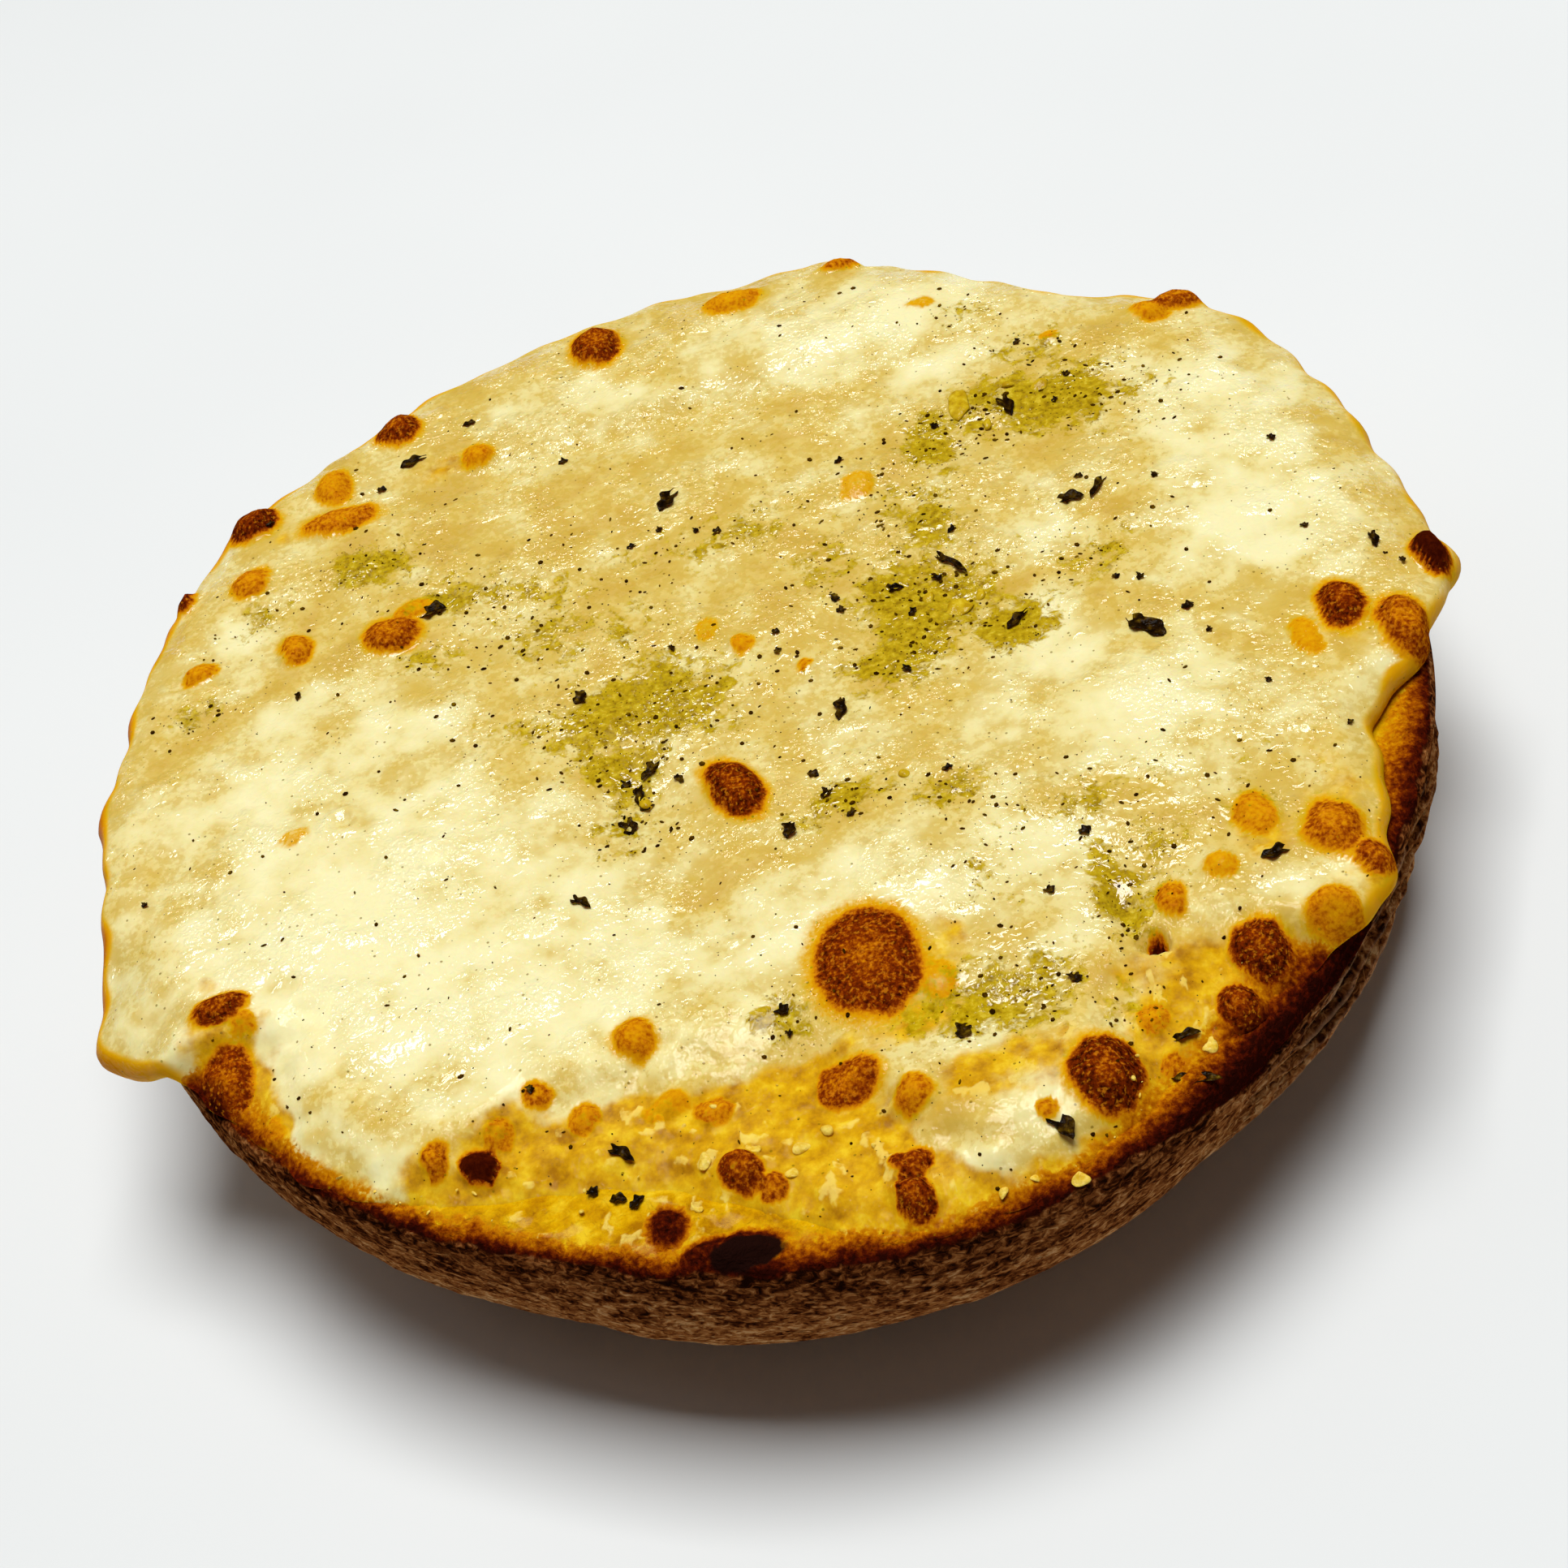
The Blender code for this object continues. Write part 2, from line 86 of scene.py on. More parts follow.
# %% The outlines, as radii by clock angle
BREAD_RIM = [
    (0, 51.4), (45, 51.2), (90, 51.6), (135, 52), (180, 52.2), (205, 52.2), (225, 51.9), (233, 51.4),
    (241, 51.2), (250, 51.8), (262, 52.6), (274, 53.2), (283, 53.2), (292, 52.4), (300, 51.6), (312, 51.2),
    (324, 51.2), (340, 51.4),
]
CHEESE_EDGE = [
    (0, 53.8), (9, 54.2), (18, 54.9), (26, 56.2), (32, 57), (37, 56.4), (42, 54), (48, 51.8), (54, 52.2),
    (62, 53.3), (67, 54.4), (72, 56), (77, 54.8), (82, 53.7), (92, 53.6), (107, 53.2), (118, 53.7),
    (127, 53.7), (134, 55.4), (140, 55.4), (146, 54.6), (155, 53.5), (165, 52.8), (172, 53.5), (178, 52.7),
    (184, 53.1), (190, 54.9), (195, 56.5), (198, 56), (202, 53.2), (205, 52), (212, 51.6), (220, 51.5),
    (228, 50.6), (234, 49.4), (239, 47.6), (244, 46), (251, 46), (256, 47.2), (261, 48.9), (266, 51.4),
    (273, 52.6), (282, 52.3), (288, 51.6), (293, 50.4), (299, 50.6), (307, 50.4), (312, 51.4), (318, 52.6),
    (323, 50.6), (330, 48.3), (334, 47.2), (338, 47.6), (343, 51), (350, 52.8), (354, 54.9),
]
WHITE_EDGE = [
    (0, 66), (180, 66), (198, 66), (202, 60), (204, 50.5), (206, 48.6), (209, 46.6), (212, 49.4),
    (218, 50.6), (225, 50.4), (230, 49.4), (232, 47), (234, 43.6), (238, 41.6), (243, 39.4), (249, 38.2),
    (256, 37.8), (262, 36.6), (266, 37), (270, 42), (274, 47), (278, 50.2), (284, 51), (288, 50.4),
    (291, 48.6), (293, 45.8), (296, 44), (301, 45), (306, 45.2), (309, 47.6), (311, 52), (318, 62),
    (330, 66),
]
BELLY = [
    (0, 2), (180, 2), (206, 2), (215, 2.15), (227, 2.4), (236, 2.6), (246, 2.45), (253, 2.3), (262, 2.15),
    (270, 2.05), (277, 1.85), (284, 1.75), (290, 1.85), (298, 2), (340, 2),
]
LIP_DROOP = [
    (0, 1.2), (30, 0.8), (50, 0.3), (130, 0.3), (155, 0.9), (180, 1.6), (197, 2.2), (205, 0.8), (225, 0.4),
    (315, 0.5), (345, 1),
]


def smooth_step(low, high, value):
    """0 below low, 1 above high, and an S curve between them."""
    share = np.clip((value - low) / (high - low), 0.0, 1.0)
    return share * share * (3.0 - 2.0 * share)


def closed_outline(table, blur):
    """The value at each whole degree, rounded off over a few degrees each way."""
    angles, radii = zip(*table)
    radius = np.interp(np.arange(360), angles, radii, period=360)
    shifts = range(-blur, blur + 1)
    return sum(np.roll(radius, shift) for shift in shifts) / len(shifts)


def at_angle(outline, angle):
    return np.interp(angle, np.arange(360), outline, period=360)


RIM_OUTLINE = closed_outline(BREAD_RIM, 2)
EDGE_OUTLINE = closed_outline(CHEESE_EDGE, 1)
WHITE_OUTLINE = closed_outline(WHITE_EDGE, 1)
DROOP_OUTLINE = closed_outline(LIP_DROOP, 3)
BELLY_OUTLINE = closed_outline(BELLY, 4)
print("rim", round(RIM_OUTLINE.min(), 1), "to", round(RIM_OUTLINE.max(), 1), "mm from the middle")

# %% [markdown]
# ## Hills of chance
#
# Nothing on food is smooth. A lattice of chance heights, eased between its points, gives
# soft hills of any size. The lattice is drawn from a numbered seed, so the bagel comes
# out the same each time.

# %% Soft random hills
LATTICE = 64
LATTICE_SHIFT = 25.4


def hills(size, seed, x, y, z=0.0):
    """Smooth chance heights from -1 to 1, about `size` millimetres from hill to hill."""
    heights = np.random.default_rng(seed).uniform(-1.0, 1.0, (LATTICE, LATTICE, LATTICE))
    steps = [np.asarray(way, dtype=float) / size + LATTICE_SHIFT for way in (x, y, z)]
    floors = [np.floor(step).astype(int) for step in steps]
    shares = [smooth_step(0.0, 1.0, step - floor) for step, floor in zip(steps, floors)]
    total = 0.0
    for corner in itertools.product((0, 1), repeat=3):
        weight = 1.0
        for share, side in zip(shares, corner):
            weight = weight * (share if side else 1.0 - share)
        cells = tuple((floor + side) % LATTICE for floor, side in zip(floors, corner))
        total = total + weight * heights[cells]
    return total


def oval(x, y, place):
    """How far off an oval a point is: 0 at its middle, 1 on its outline."""
    middle_x, middle_y, width, depth = place[:4]
    turn = math.radians(place[6]) if len(place) > 6 else 0.0
    along = (x - middle_x) * math.cos(turn) + (y - middle_y) * math.sin(turn)
    across = (y - middle_y) * math.cos(turn) - (x - middle_x) * math.sin(turn)
    return np.hypot(along / (width / 2.0), across / (depth / 2.0))


def mound(x, y, place):
    """A soft rise of the given height that fades out beyond its reach."""
    middle_x, middle_y, reach_x, reach_y, height = place
    off = ((x - middle_x) / reach_x) ** 2 + ((y - middle_y) / reach_y) ** 2
    return height * np.exp(-off)


def strongest(x, y, places):
    """The highest of several mounds at each point, which keeps overlaps from adding up."""
    level = np.zeros_like(x)
    for place in places:
        level = np.maximum(level, mound(x, y, place))
    return level


print("two of the hills:", hills(1.0, 1, np.array([0.0, 0.5]), 0.0).round(2))

# %% [markdown]
# ## What the grill did to the cheese
#
# Where steam lifted the cheese it rose into blisters, and those caught the heat first.
# Each has a place, a width and depth, a height, and how brown it got: 0.3 is pale gold,
# 0.6 is orange brown and 1 is nearly burnt. The one long blister has a turn too. Oil from
# the herbs stained the cheese olive in patches. Thick cheese stayed pale while thin cheese
# went beige. Mounds, stains and areas have a place, a reach each way and a strength.

# %% Blisters, mounds and stains
BLISTERS = [
    (2.3, -30.1, 8.4, 10.2, 0.7, 0.8), (15.6, -44.9, 5.6, 6.4, 1.3, 0.88),
    (25.7, -41.9, 3.4, 4.4, 1.1, 0.86), (28.5, -38, 4.6, 5.2, 1.4, 0.88), (34.1, -37.1, 4.6, 3.8, 0.9, 0.5),
    (23.9, -32.1, 2.4, 3.1, 0.6, 0.52), (27.9, -30.6, 2.8, 2.7, 0.5, 0.38), (31.8, -26.8, 3.4, 5, 0.6, 0.46),
    (36.4, -29.9, 4.6, 5.4, 0.7, 0.6), (38.3, -33.2, 3, 3.3, 0.7, 0.7), (44.3, -8.8, 3.9, 5.7, 1.1, 0.84),
    (47.9, -12.7, 4.4, 6.6, 1.5, 0.66), (40.7, -11, 2.4, 4.7, 0.4, 0.38), (52.6, -5.2, 3, 5.5, 1.6, 0.98),
    (-5.2, 48.6, 5, 6, 1.2, 0.78), (7.5, 49.7, 5.7, 4.1, 0.7, 0.46), (17.9, 50.9, 4.1, 2.2, 0.8, 0.6),
    (44, 33.2, 5.6, 3, 1, 0.66), (41.2, 32.2, 3.5, 3.4, 0.7, 0.46), (-24, 45, 4.4, 4.6, 1, 0.82),
    (-17.4, 38.6, 3, 3.1, 0.7, 0.48), (-30.4, 39.7, 3.4, 5, 0.7, 0.48), (-30.2, 34.9, 7.6, 3.7, 0.8, 0.56),
    (-37.8, 38, 5, 4.9, 1.2, 0.88), (-38.6, 29.8, 3.8, 4, 0.8, 0.52), (-44.7, 30.9, 2.4, 3.4, 1.2, 0.9),
    (-27.2, 18.2, 5.3, 4.4, 0.9, 0.66), (-35.3, 19.6, 3.2, 4, 0.8, 0.54), (-43.4, 20, 3, 2.6, 0.6, 0.48),
    (-3.5, -10, 7.4, 4, 1, 0.86, -69), (-14.7, -31, 3.4, 3.7, 0.7, 0.5), (-44.1, -17.5, 4.7, 3, 0.8, 0.82),
    (-42.3, -19.3, 2.2, 2.4, 0.4, 0.46), (-44.5, -22.9, 4.6, 6, 1.1, 0.74),
    (-41.6, -28.4, 2.2, 2.5, 0.5, 0.46), (-27.1, -37.2, 3.1, 3, 1, 0.98),
    (-25.5, -35.2, 2.8, 2.6, 0.6, 0.48), (-30.3, -36.2, 2.2, 2.6, 0.6, 0.6),
    (-22.3, -33, 2.2, 2.4, 0.4, 0.55), (-19.6, -35.8, 2.5, 2.4, 0.5, 0.5), (-10.8, -38.2, 3.1, 3, 0.6, 0.5),
    (-13.8, -36.7, 4, 2.4, 0.3, 0.38), (-1.3, -39.1, 4.9, 4.4, 0.6, 0.68), (2.8, -42.3, 3.3, 3, 0.6, 0.52),
    (-9.7, -43.6, 3.6, 3.5, 1, 0.76), (-7.8, -45.4, 2.2, 2.4, 0.6, 0.66), (1.4, -46.9, 3.5, 2.2, 0.9, 0.8),
    (1, -49.5, 3, 4, 1.2, 0.84), (19.9, -41, 2.7, 2.8, 0.5, 0.48), (12.7, 20.3, 3.5, 3.5, 0.4, 0.28),
    (-0.1, 5.2, 2, 2.4, 0.4, 0.44), (4.1, 1, 1.4, 1.3, 0.3, 0.5), (32.4, 32.2, 1.5, 1.3, 0.3, 0.42),
    (23.1, 41, 2.5, 1.6, 0.3, 0.3), (11.2, -46.6, 1.6, 1.6, 0.4, 0.56), (20, -44.4, 1.5, 1.8, 0.4, 0.6),
    (-36.9, -2.5, 2.4, 2.2, 0.2, 0.24), (-24.8, 20.6, 4.3, 2.4, 0.3, 0.42), (-2.2, 8.4, 2.4, 2.8, 0.2, 0.3),
    (6.5, -33.4, 3.2, 4, 0.2, 0.34),
]
CRATERS = [(-33.2, -2.5, 3.2, 3), (-26.5, -8.6, 3.1, 2.9)]
PITS = [(21.8, -34.8, 1.7, 1.9, 1.8), (20.6, -32, 2, 4.6, 0.5)]
RELIEF = [
    (-32, -8, 19, 17, 0.8), (-10.8, -8.1, 4.6, 4.2, -0.9), (-9.4, -16, 4, 8, -0.7),
    (3.1, 5.5, 4.6, 3.8, 0.5), (8.2, -20.5, 10, 6.5, 0.7), (26.7, -14, 11, 10, 0.7), (14, 42, 17, 7, 0.7),
    (36, 16, 9, 14, 0.6), (-16, 35.5, 15, 2.6, -0.6), (6, 36, 14, 2.4, -0.5), (-22, 14, 9, 4, -0.4),
    (15.8, 3, 9, 7, -0.4), (31, 22, 9, 5, -0.4), (-1, -35.5, 9, 3, -0.6), (22, -30.5, 3, 5, -0.6),
    (12, -38, 6, 3, -0.4),
]
RIM_LUMPS = [(-12, -49.1, 6.8, 2.6, 0.9), (-15.5, -45.8, 2.6, 3, 0.6), (21.3, -46.6, 2.8, 2.6, 0.5)]
OIL_STAINS = [
    (-8.9, 1.8, 7.5, 5, 1), (-11.5, -5, 3, 4, 0.9), (-12, -10.5, 3.6, 3.6, 0.55), (15, 4.6, 6.4, 5.4, 1.1),
    (20, -0.8, 4.4, 3, 0.75), (10.6, -1, 4, 4, 0.75), (30.5, 24, 7, 4.6, 0.95), (25, 24.6, 3.2, 4.2, 0.9),
    (19.8, 23, 2.8, 3.8, 1), (-28.7, 27.6, 4.2, 3.2, 0.9), (17, 14, 4, 4, 0.6), (16, 18.5, 3, 3, 0.5),
    (10.1, -36.6, 6.6, 3.6, 0.8), (20.9, -30.3, 2.4, 5.2, 0.85), (4, -14.5, 4.4, 2.2, 0.8),
    (11.6, -16.7, 2.8, 2.2, 0.8), (-13.3, 12, 9, 4, 0.45), (-16, 17.5, 6, 3, 0.5), (-22, 21.3, 8, 3, 0.45),
    (-24, 14.6, 4, 2.4, 0.5), (-44, 15, 3, 2.2, 0.5), (20, -20.5, 8, 3, 0.4), (30.5, 31.3, 4, 3, 0.5),
    (1.5, 19, 12, 3.4, 0.4), (29, 4, 4.5, 3, 0.55), (-18.6, 2.9, 4.6, 2.4, 0.5), (-4, -33, 2.6, 2.6, 0.7),
    (33, -24, 5, 4.4, 0.4), (19.2, -39.3, 3, 2.4, 0.5), (-37, 25, 4, 3, 0.45), (8, 12, 4, 4, 0.45),
    (26, 38, 4, 2.6, 0.45), (36, 22, 4, 5, 0.5), (-1.5, -3, 3, 3, 0.4), (12, -26, 3, 5, 0.35),
    (24, -27.6, 4, 3, 0.55),
]
PALE_AREAS = [
    (-33, -15, 17, 18, 1.15), (-41, 2, 9, 9, 0.85), (-30, 6, 10, 5, 0.8), (-20, -26, 12, 8, 1.05),
    (2, -24.5, 13, 4.6, 0.95), (14, -24, 8, 6, 0.85), (27, -13, 10, 7, 1), (24, -6, 6, 4, 0.8),
    (42, 4, 8, 9, 0.95), (43, 18, 8, 12, 0.85), (19, 41, 15, 6, 1.1), (24, 33, 6, 4, 0.7),
    (-7, 41, 6, 4, 0.65), (-40, 24, 4, 4, 0.75), (-24, 7, 6, 4, 0.5), (24, 8, 5, 4, 0.65),
    (24, 0, 3, 3, 0.5), (-8, -31.5, 5, 2.5, 0.8), (15, -34, 5, 2.6, 0.7), (-16, -15, 6, 6, 0.7),
    (8, 24, 5, 4, 0.4), (-36, 11, 8, 4, 0.65), (14, -43.5, 3.4, 3.6, 0.9), (8.6, -39, 4, 1.6, 0.7),
    (-4, -45.6, 3, 1.6, 0.7), (5, -48.4, 3.4, 1.4, 0.95), (10, -46.6, 5, 2, 0.6), (48, -16, 4, 3, 0.8),
    (44, -22, 3, 5, 0.5), (33, -33.6, 5, 1.6, 0.7), (-50, -14, 5, 6, 0.35), (8, -8, 6, 3, 0.5),
    (-4, 5, 3, 3, 0.4),
]
GOLD_AREAS = [
    (24.3, -39.3, 7, 4.6, 1.1), (20.1, -36.9, 4, 2.2, 0.8), (8.6, -42.2, 8, 2.6, 1), (-1, -36.6, 6, 2, 0.8),
    (-13.5, -37.4, 6, 1.6, 0.7), (5.4, -36, 4, 2.4, 0.8), (32, -29.6, 5, 4, 0.5), (37, -26, 4, 6, 0.55),
    (-25.2, -35.4, 5, 2.4, 0.9), (-44.4, -20.7, 3.4, 6, 0.8), (-31.3, -36.7, 2, 2, 0.8),
    (44.2, -26.2, 2.6, 6, 0.7), (-20.5, 38.4, 6, 2.2, 0.55), (-35, 34.6, 3, 2, 0.5),
    (38.2, -35.3, 4, 3, 0.5), (17, -30, 3, 2, 0.35), (8, -29.4, 2.4, 4.6, 0.55), (43.6, -12, 2.6, 4, 0.4),
]
print(len(BLISTERS), "blisters and", len(OIL_STAINS), "oily stains")

# %% [markdown]
# ## Working as a sculptor does
#
# Operators build the cage of each piece: a ring that is extruded and scaled, a grid that
# is rounded. The melted forms themselves follow no operator, so after that a rule moves
# every vertex, the way a sculptor's brush would, but the same way each time. Numbers can
# be painted on the vertices too, for the materials to read.

# %% Add a piece, move its vertices and paint them
def deselect_all():
    if bpy.context.object and bpy.context.object.mode != "OBJECT":
        bpy.ops.object.mode_set(mode="OBJECT")
    bpy.ops.object.select_all(action="DESELECT")


def added(operator, **settings):
    """Run an operator that adds a thing at the origin, and return the thing."""
    deselect_all()
    operator(location=(0, 0, 0), **settings)
    return bpy.context.object


def vertex_places(obj):
    """The vertices of a piece as three arrays, in millimetres."""
    places = np.empty(len(obj.data.vertices) * 3, dtype=np.float32)
    obj.data.vertices.foreach_get("co", places)
    return places.astype(float).reshape(-1, 3).T / MM


def place_vertices(obj, x, y, z):
    moved = np.stack([x, y, z], axis=1) * MM
    obj.data.vertices.foreach_set("co", moved.astype(np.float32).ravel())
    obj.data.update()


def paint(obj, **layers):
    """Store numbers from 0 to 1 on the vertices, by name, which a material can read."""
    for name, values in layers.items():
        layer = obj.data.attributes.new(name, "FLOAT", "POINT")
        layer.data.foreach_set("value", np.clip(values, 0.0, 1.0).astype(np.float32))


def polar(x, y):
    return np.hypot(x, y), np.degrees(np.arctan2(y, x)) % 360.0


def on_circle(radius, angle):
    return radius * np.cos(np.radians(angle)), radius * np.sin(np.radians(angle))


def centre_piece(obj):
    """Shift a finished piece so that it stands where its solid stands."""
    obj.data.transform(Matrix.Translation((MIDDLE[0] * MM, MIDDLE[1] * MM, CUT_HEIGHT * MM)))


# %% [markdown]
# ## Rings that grow into a shape
#
# A turned thing such as a roll could be made with a screw or a spin. Extruding its open
# edge ring by ring does the same, and lets us choose the width of each row of faces.

# %% Extrude rings and close them
def extrude_rings(start, rings):
    """Extrude the selected open edge through a list of rings, each a radius and a height."""
    radius, height = start
    for next_radius, next_height in rings:
        move = {"value": (0, 0, (next_height - height) * MM)}
        bpy.ops.mesh.extrude_edges_move(TRANSFORM_OT_translate=move)
        share = next_radius / radius
        bpy.ops.transform.resize(value=(share, share, 1), center_override=(0, 0, next_height * MM))
        radius, height = next_radius, next_height


def close_and_face_out():
    """Fill the open edge that is selected and turn every face outwards."""
    bpy.ops.mesh.edge_face_add()
    bpy.ops.mesh.select_all(action="SELECT")
    bpy.ops.mesh.normals_make_consistent(inside=False)
    bpy.ops.object.mode_set(mode="OBJECT")


def select_open_edges():
    bpy.ops.object.mode_set(mode="EDIT")
    bpy.ops.mesh.select_mode(type="EDGE")
    bpy.ops.mesh.select_all(action="DESELECT")
    bpy.ops.mesh.select_non_manifold()


# %% [markdown]
# ## Toast runs in from the rim
#
# The bread is darkest on its rounded rim, where the heat reached it from two sides, and
# the toasting fades inwards over a few millimetres. It reached furthest at the front
# right, where the cheese left the crumb bare. Bread and film share this rule, so that the
# golden film and the crumb beside it have one colour.

# %% How far the toast reaches
TOAST_REACH = [
    (0, 2.4), (150, 2.4), (195, 2.6), (203, 5.4), (210, 3.8), (225, 2.6), (238, 2.4), (255, 2.6), (262, 4),
    (268, 2.8), (280, 3), (290, 4.2), (298, 5), (306, 5.6), (314, 6), (322, 5.4), (330, 6.6), (338, 4.4),
    (345, 2.4),
]
REACH_OUTLINE = closed_outline(TOAST_REACH, 2)
LUMP_HEIGHT = 0.4


def toast_level(x, y):
    """1 on the rim and 0 where the crumb stayed yellow, with a ragged border."""
    radius, angle = polar(x, y)
    inward = at_angle(RIM_OUTLINE, angle) - radius
    ragged = inward + 0.40 * hills(2.3, 21, x, y) + 0.3 * hills(0.9, 22, x, y)
    reach = at_angle(REACH_OUTLINE, angle)
    return np.clip(1.0 - (ragged - 0.2) / reach, 0.0, 1.0) ** 2.0


def crumb_lumps(x, y):
    """The soft unevenness of buttered crumb, in millimetres."""
    pebbles = smooth_step(0.1, 0.5, hills(1.0, 14, x, y) + 0.5 * hills(0.55, 15, x, y))
    return 0.16 * hills(2.6, 11, x, y) + 0.10 * hills(0.9, 12, x, y) + 0.26 * pebbles


print("toast at the rim and 6 mm in:", toast_level(np.array([51.0, 45.0]), np.zeros(2)).round(2))

# %% [markdown]
# ## The bread
#
# A bagel half is a turned shape: flat cut face, rounded rim, bulging crust, flat base.
# Its rings are close together at the rim and crust, and wide where nothing shows.

# %% Extrude the bread ring by ring
BREAD_SIDES = 620
SIDE_RINGS = 84


def bread_rings():
    """Radius and height of each ring, from the cut face round to the navel."""
    rings = [(20.0, 0.0), (32.0, 0.0), (37.0, 0.0)]
    rings += [(radius, 0.0) for radius in np.arange(39.0, BREAD_RADIUS - RIM_ROUNDING + 0.1, 0.5)]
    for lean in np.radians(np.arange(10.0, 81.0, 10.0)):
        round_in = RIM_ROUNDING * (1.0 - math.sin(lean))
        rings.append((BREAD_RADIUS - round_in, -RIM_DROP * (1.0 - math.cos(lean))))
    side = CUT_HEIGHT - RIM_DROP
    for step in range(1, SIDE_RINGS + 1):
        lean = math.radians(90.0 * step / SIDE_RINGS)
        radius = BASE_RADIUS + (BREAD_RADIUS - BASE_RADIUS) * math.cos(lean)
        rings.append((radius, -RIM_DROP - side * math.sin(lean)))
    rings += [(radius, -CUT_HEIGHT) for radius in (27.0, 23.0, 18.0, 12.0, NAVEL_RADIUS + 2.0)]
    rings += [(NAVEL_RADIUS + 1.0, 0.1 - CUT_HEIGHT), (NAVEL_RADIUS + 0.3, 0.5 - CUT_HEIGHT)]
    navel = ((0.96, 0.28), (0.86, 0.55), (0.68, 0.78), (0.42, 0.93), (0.15, 1.0))
    return rings + [(NAVEL_RADIUS * share, NAVEL_DEPTH * depth - CUT_HEIGHT) for share, depth in navel]


def extruded_bread():
    rings = bread_rings()
    obj = added(bpy.ops.mesh.primitive_circle_add, vertices=BREAD_SIDES, radius=rings[0][0] * MM,
                fill_type="NGON")
    obj.name = "bagel_bread"
    select_open_edges()
    extrude_rings(rings[0], rings[1:])
    close_and_face_out()
    return obj


bread = extruded_bread()
print("bread has", len(bread.data.polygons), "faces")

# %% [markdown]
# ## Dents, wrinkles and a torn seam
#
# Dough that is rolled and joined keeps a seam. Here it tore in the oven, at the front
# right, and left a ledge with fine ridges that run along it. The rest of the crust has
# small wrinkles that lie round the side, because the skin dried while the bread rose.

# %% Shape the crust and the crumb
SEAM_ANGLE = 321.0
SEAM_HALF_WIDTH = 30.0
SEAM_HEIGHT = -8.0
SEAM_CLIMB = 0.12
SEAM_REACH = 3.2
SEAM_DEPTH = 1.2
RIDGE_SPACING = 1.05
RIDGE_HEIGHT = 0.34


def seam_nearness(angle):
    return smooth_step(1.0, 0.45, np.abs(angle - SEAM_ANGLE) / SEAM_HALF_WIDTH)


def seam_ridges(x, y, z, angle):
    """The thin ridges that follow the torn seam, from -1 in a crease to 1 on a crest."""
    wander = 0.8 * hills(9.0, 24, x, y, z) + 0.10 * hills(2.4, 25, x, y, z)
    ridges = np.sin(2.0 * math.pi * (z + 0.05 * (angle - SEAM_ANGLE) + wander) / RIDGE_SPACING)
    lively = smooth_step(-0.3, 0.5, hills(5.0, 26, x, y, 2.0 * z))
    return seam_nearness(angle) * ridges * (0.6 + 0.4 * lively)


def seam_ledge(z, angle):
    above = (z - SEAM_HEIGHT - SEAM_CLIMB * (angle - SEAM_ANGLE)) / SEAM_REACH
    return -seam_nearness(angle) * SEAM_DEPTH * 2.33 * above * np.exp(-above ** 2)


def wrinkle_relief(x, y, z):
    """Small wrinkles of dried skin, drawn out round the side."""
    flat = 2.6 * z
    coarse = hills(4.5, 27, x, y, flat)
    middle = 1.0 - 2.0 * np.abs(hills(2.0, 28, x, y, flat))
    fine = hills(0.95, 29, x, y, flat)
    return 0.16 * coarse + 0.09 * middle + 0.07 * fine


def full_belly(radius, z, angle):
    """Swell or slim the side, from a quarter of an ellipse to a fuller or leaner curve."""
    power = at_angle(BELLY_OUTLINE, angle)
    down = np.clip(-(z + RIM_DROP) / (CUT_HEIGHT - RIM_DROP), 0.0, 1.0)
    out = (1.0 - down ** power) ** (1.0 / power)
    on_side = (z < -RIM_DROP) & (radius > BASE_RADIUS)
    return np.where(on_side, BASE_RADIUS + (BREAD_RADIUS - BASE_RADIUS) * out, radius)


def shape_bread():
    x, y, z = vertex_places(bread)
    radius, angle = polar(x, y)
    turn = np.radians(angle)
    outer = smooth_step(18.0, 44.0, radius)
    low = smooth_step(44.0, 30.0, radius) * smooth_step(12.0, 26.0, radius)
    base_wobble = 1.2 * np.sin(2.0 * turn + 0.6) + 0.7 * np.sin(5.0 * turn + 2.0)
    factor = 1.0 + (at_angle(RIM_OUTLINE, angle) / BREAD_RADIUS - 1.0) * outer
    height = CUT_HEIGHT + z
    side = np.sin(math.pi * np.clip(height / (CUT_HEIGHT - RIM_DROP), 0.0, 1.0))
    dents = 0.5 * side * np.sin(4.0 * turn + 1.0) + 0.3 * side * np.sin(11.0 * turn + 0.35 * height)
    crust = smooth_step(-RIM_DROP + 0.1, -RIM_DROP - 0.6, z)
    skin = crust * smooth_step(-CUT_HEIGHT, -CUT_HEIGHT + 1.5, z)
    grown = full_belly(radius, z, angle) * factor + base_wobble * low + dents * crust * outer
    ridges = skin * seam_ridges(x, y, z, angle)
    grown = grown + skin * (wrinkle_relief(x, y, z) + seam_ledge(z, angle)) + RIDGE_HEIGHT * ridges
    scale = grown / np.maximum(radius, 0.001)
    x, y = x * scale, y * scale
    radius = radius * scale
    bare = smooth_step(-1.6, -0.4, radius - at_angle(EDGE_OUTLINE, angle))
    on_top = smooth_step(-RIM_DROP - 0.5, -RIM_DROP + 0.5, z)
    lumps = sum(lump[4] * np.clip(1.0 - oval(x, y, lump) ** 2, 0.0, 1.0) ** 0.8 for lump in RIM_LUMPS)
    surface = crumb_lumps(x, y) * bare - 0.25 * (1.0 - bare) * smooth_step(30.0, 38.0, radius)
    place_vertices(bread, x, y, z + on_top * (lumps + surface))
    return angle, z, ridges


bread_angle, bread_height, bread_ridges = shape_bread()
print("bread shaped, widest at", round(float(np.hypot(*vertex_places(bread)[:2]).max()), 1), "mm")

# %% [markdown]
# ## Where the crust begins
#
# On a real half the toasted face gives way to brown skin just below the rim. Painted
# numbers say where, so that one material can dress crumb, toast and crust without a
# border in the mesh.

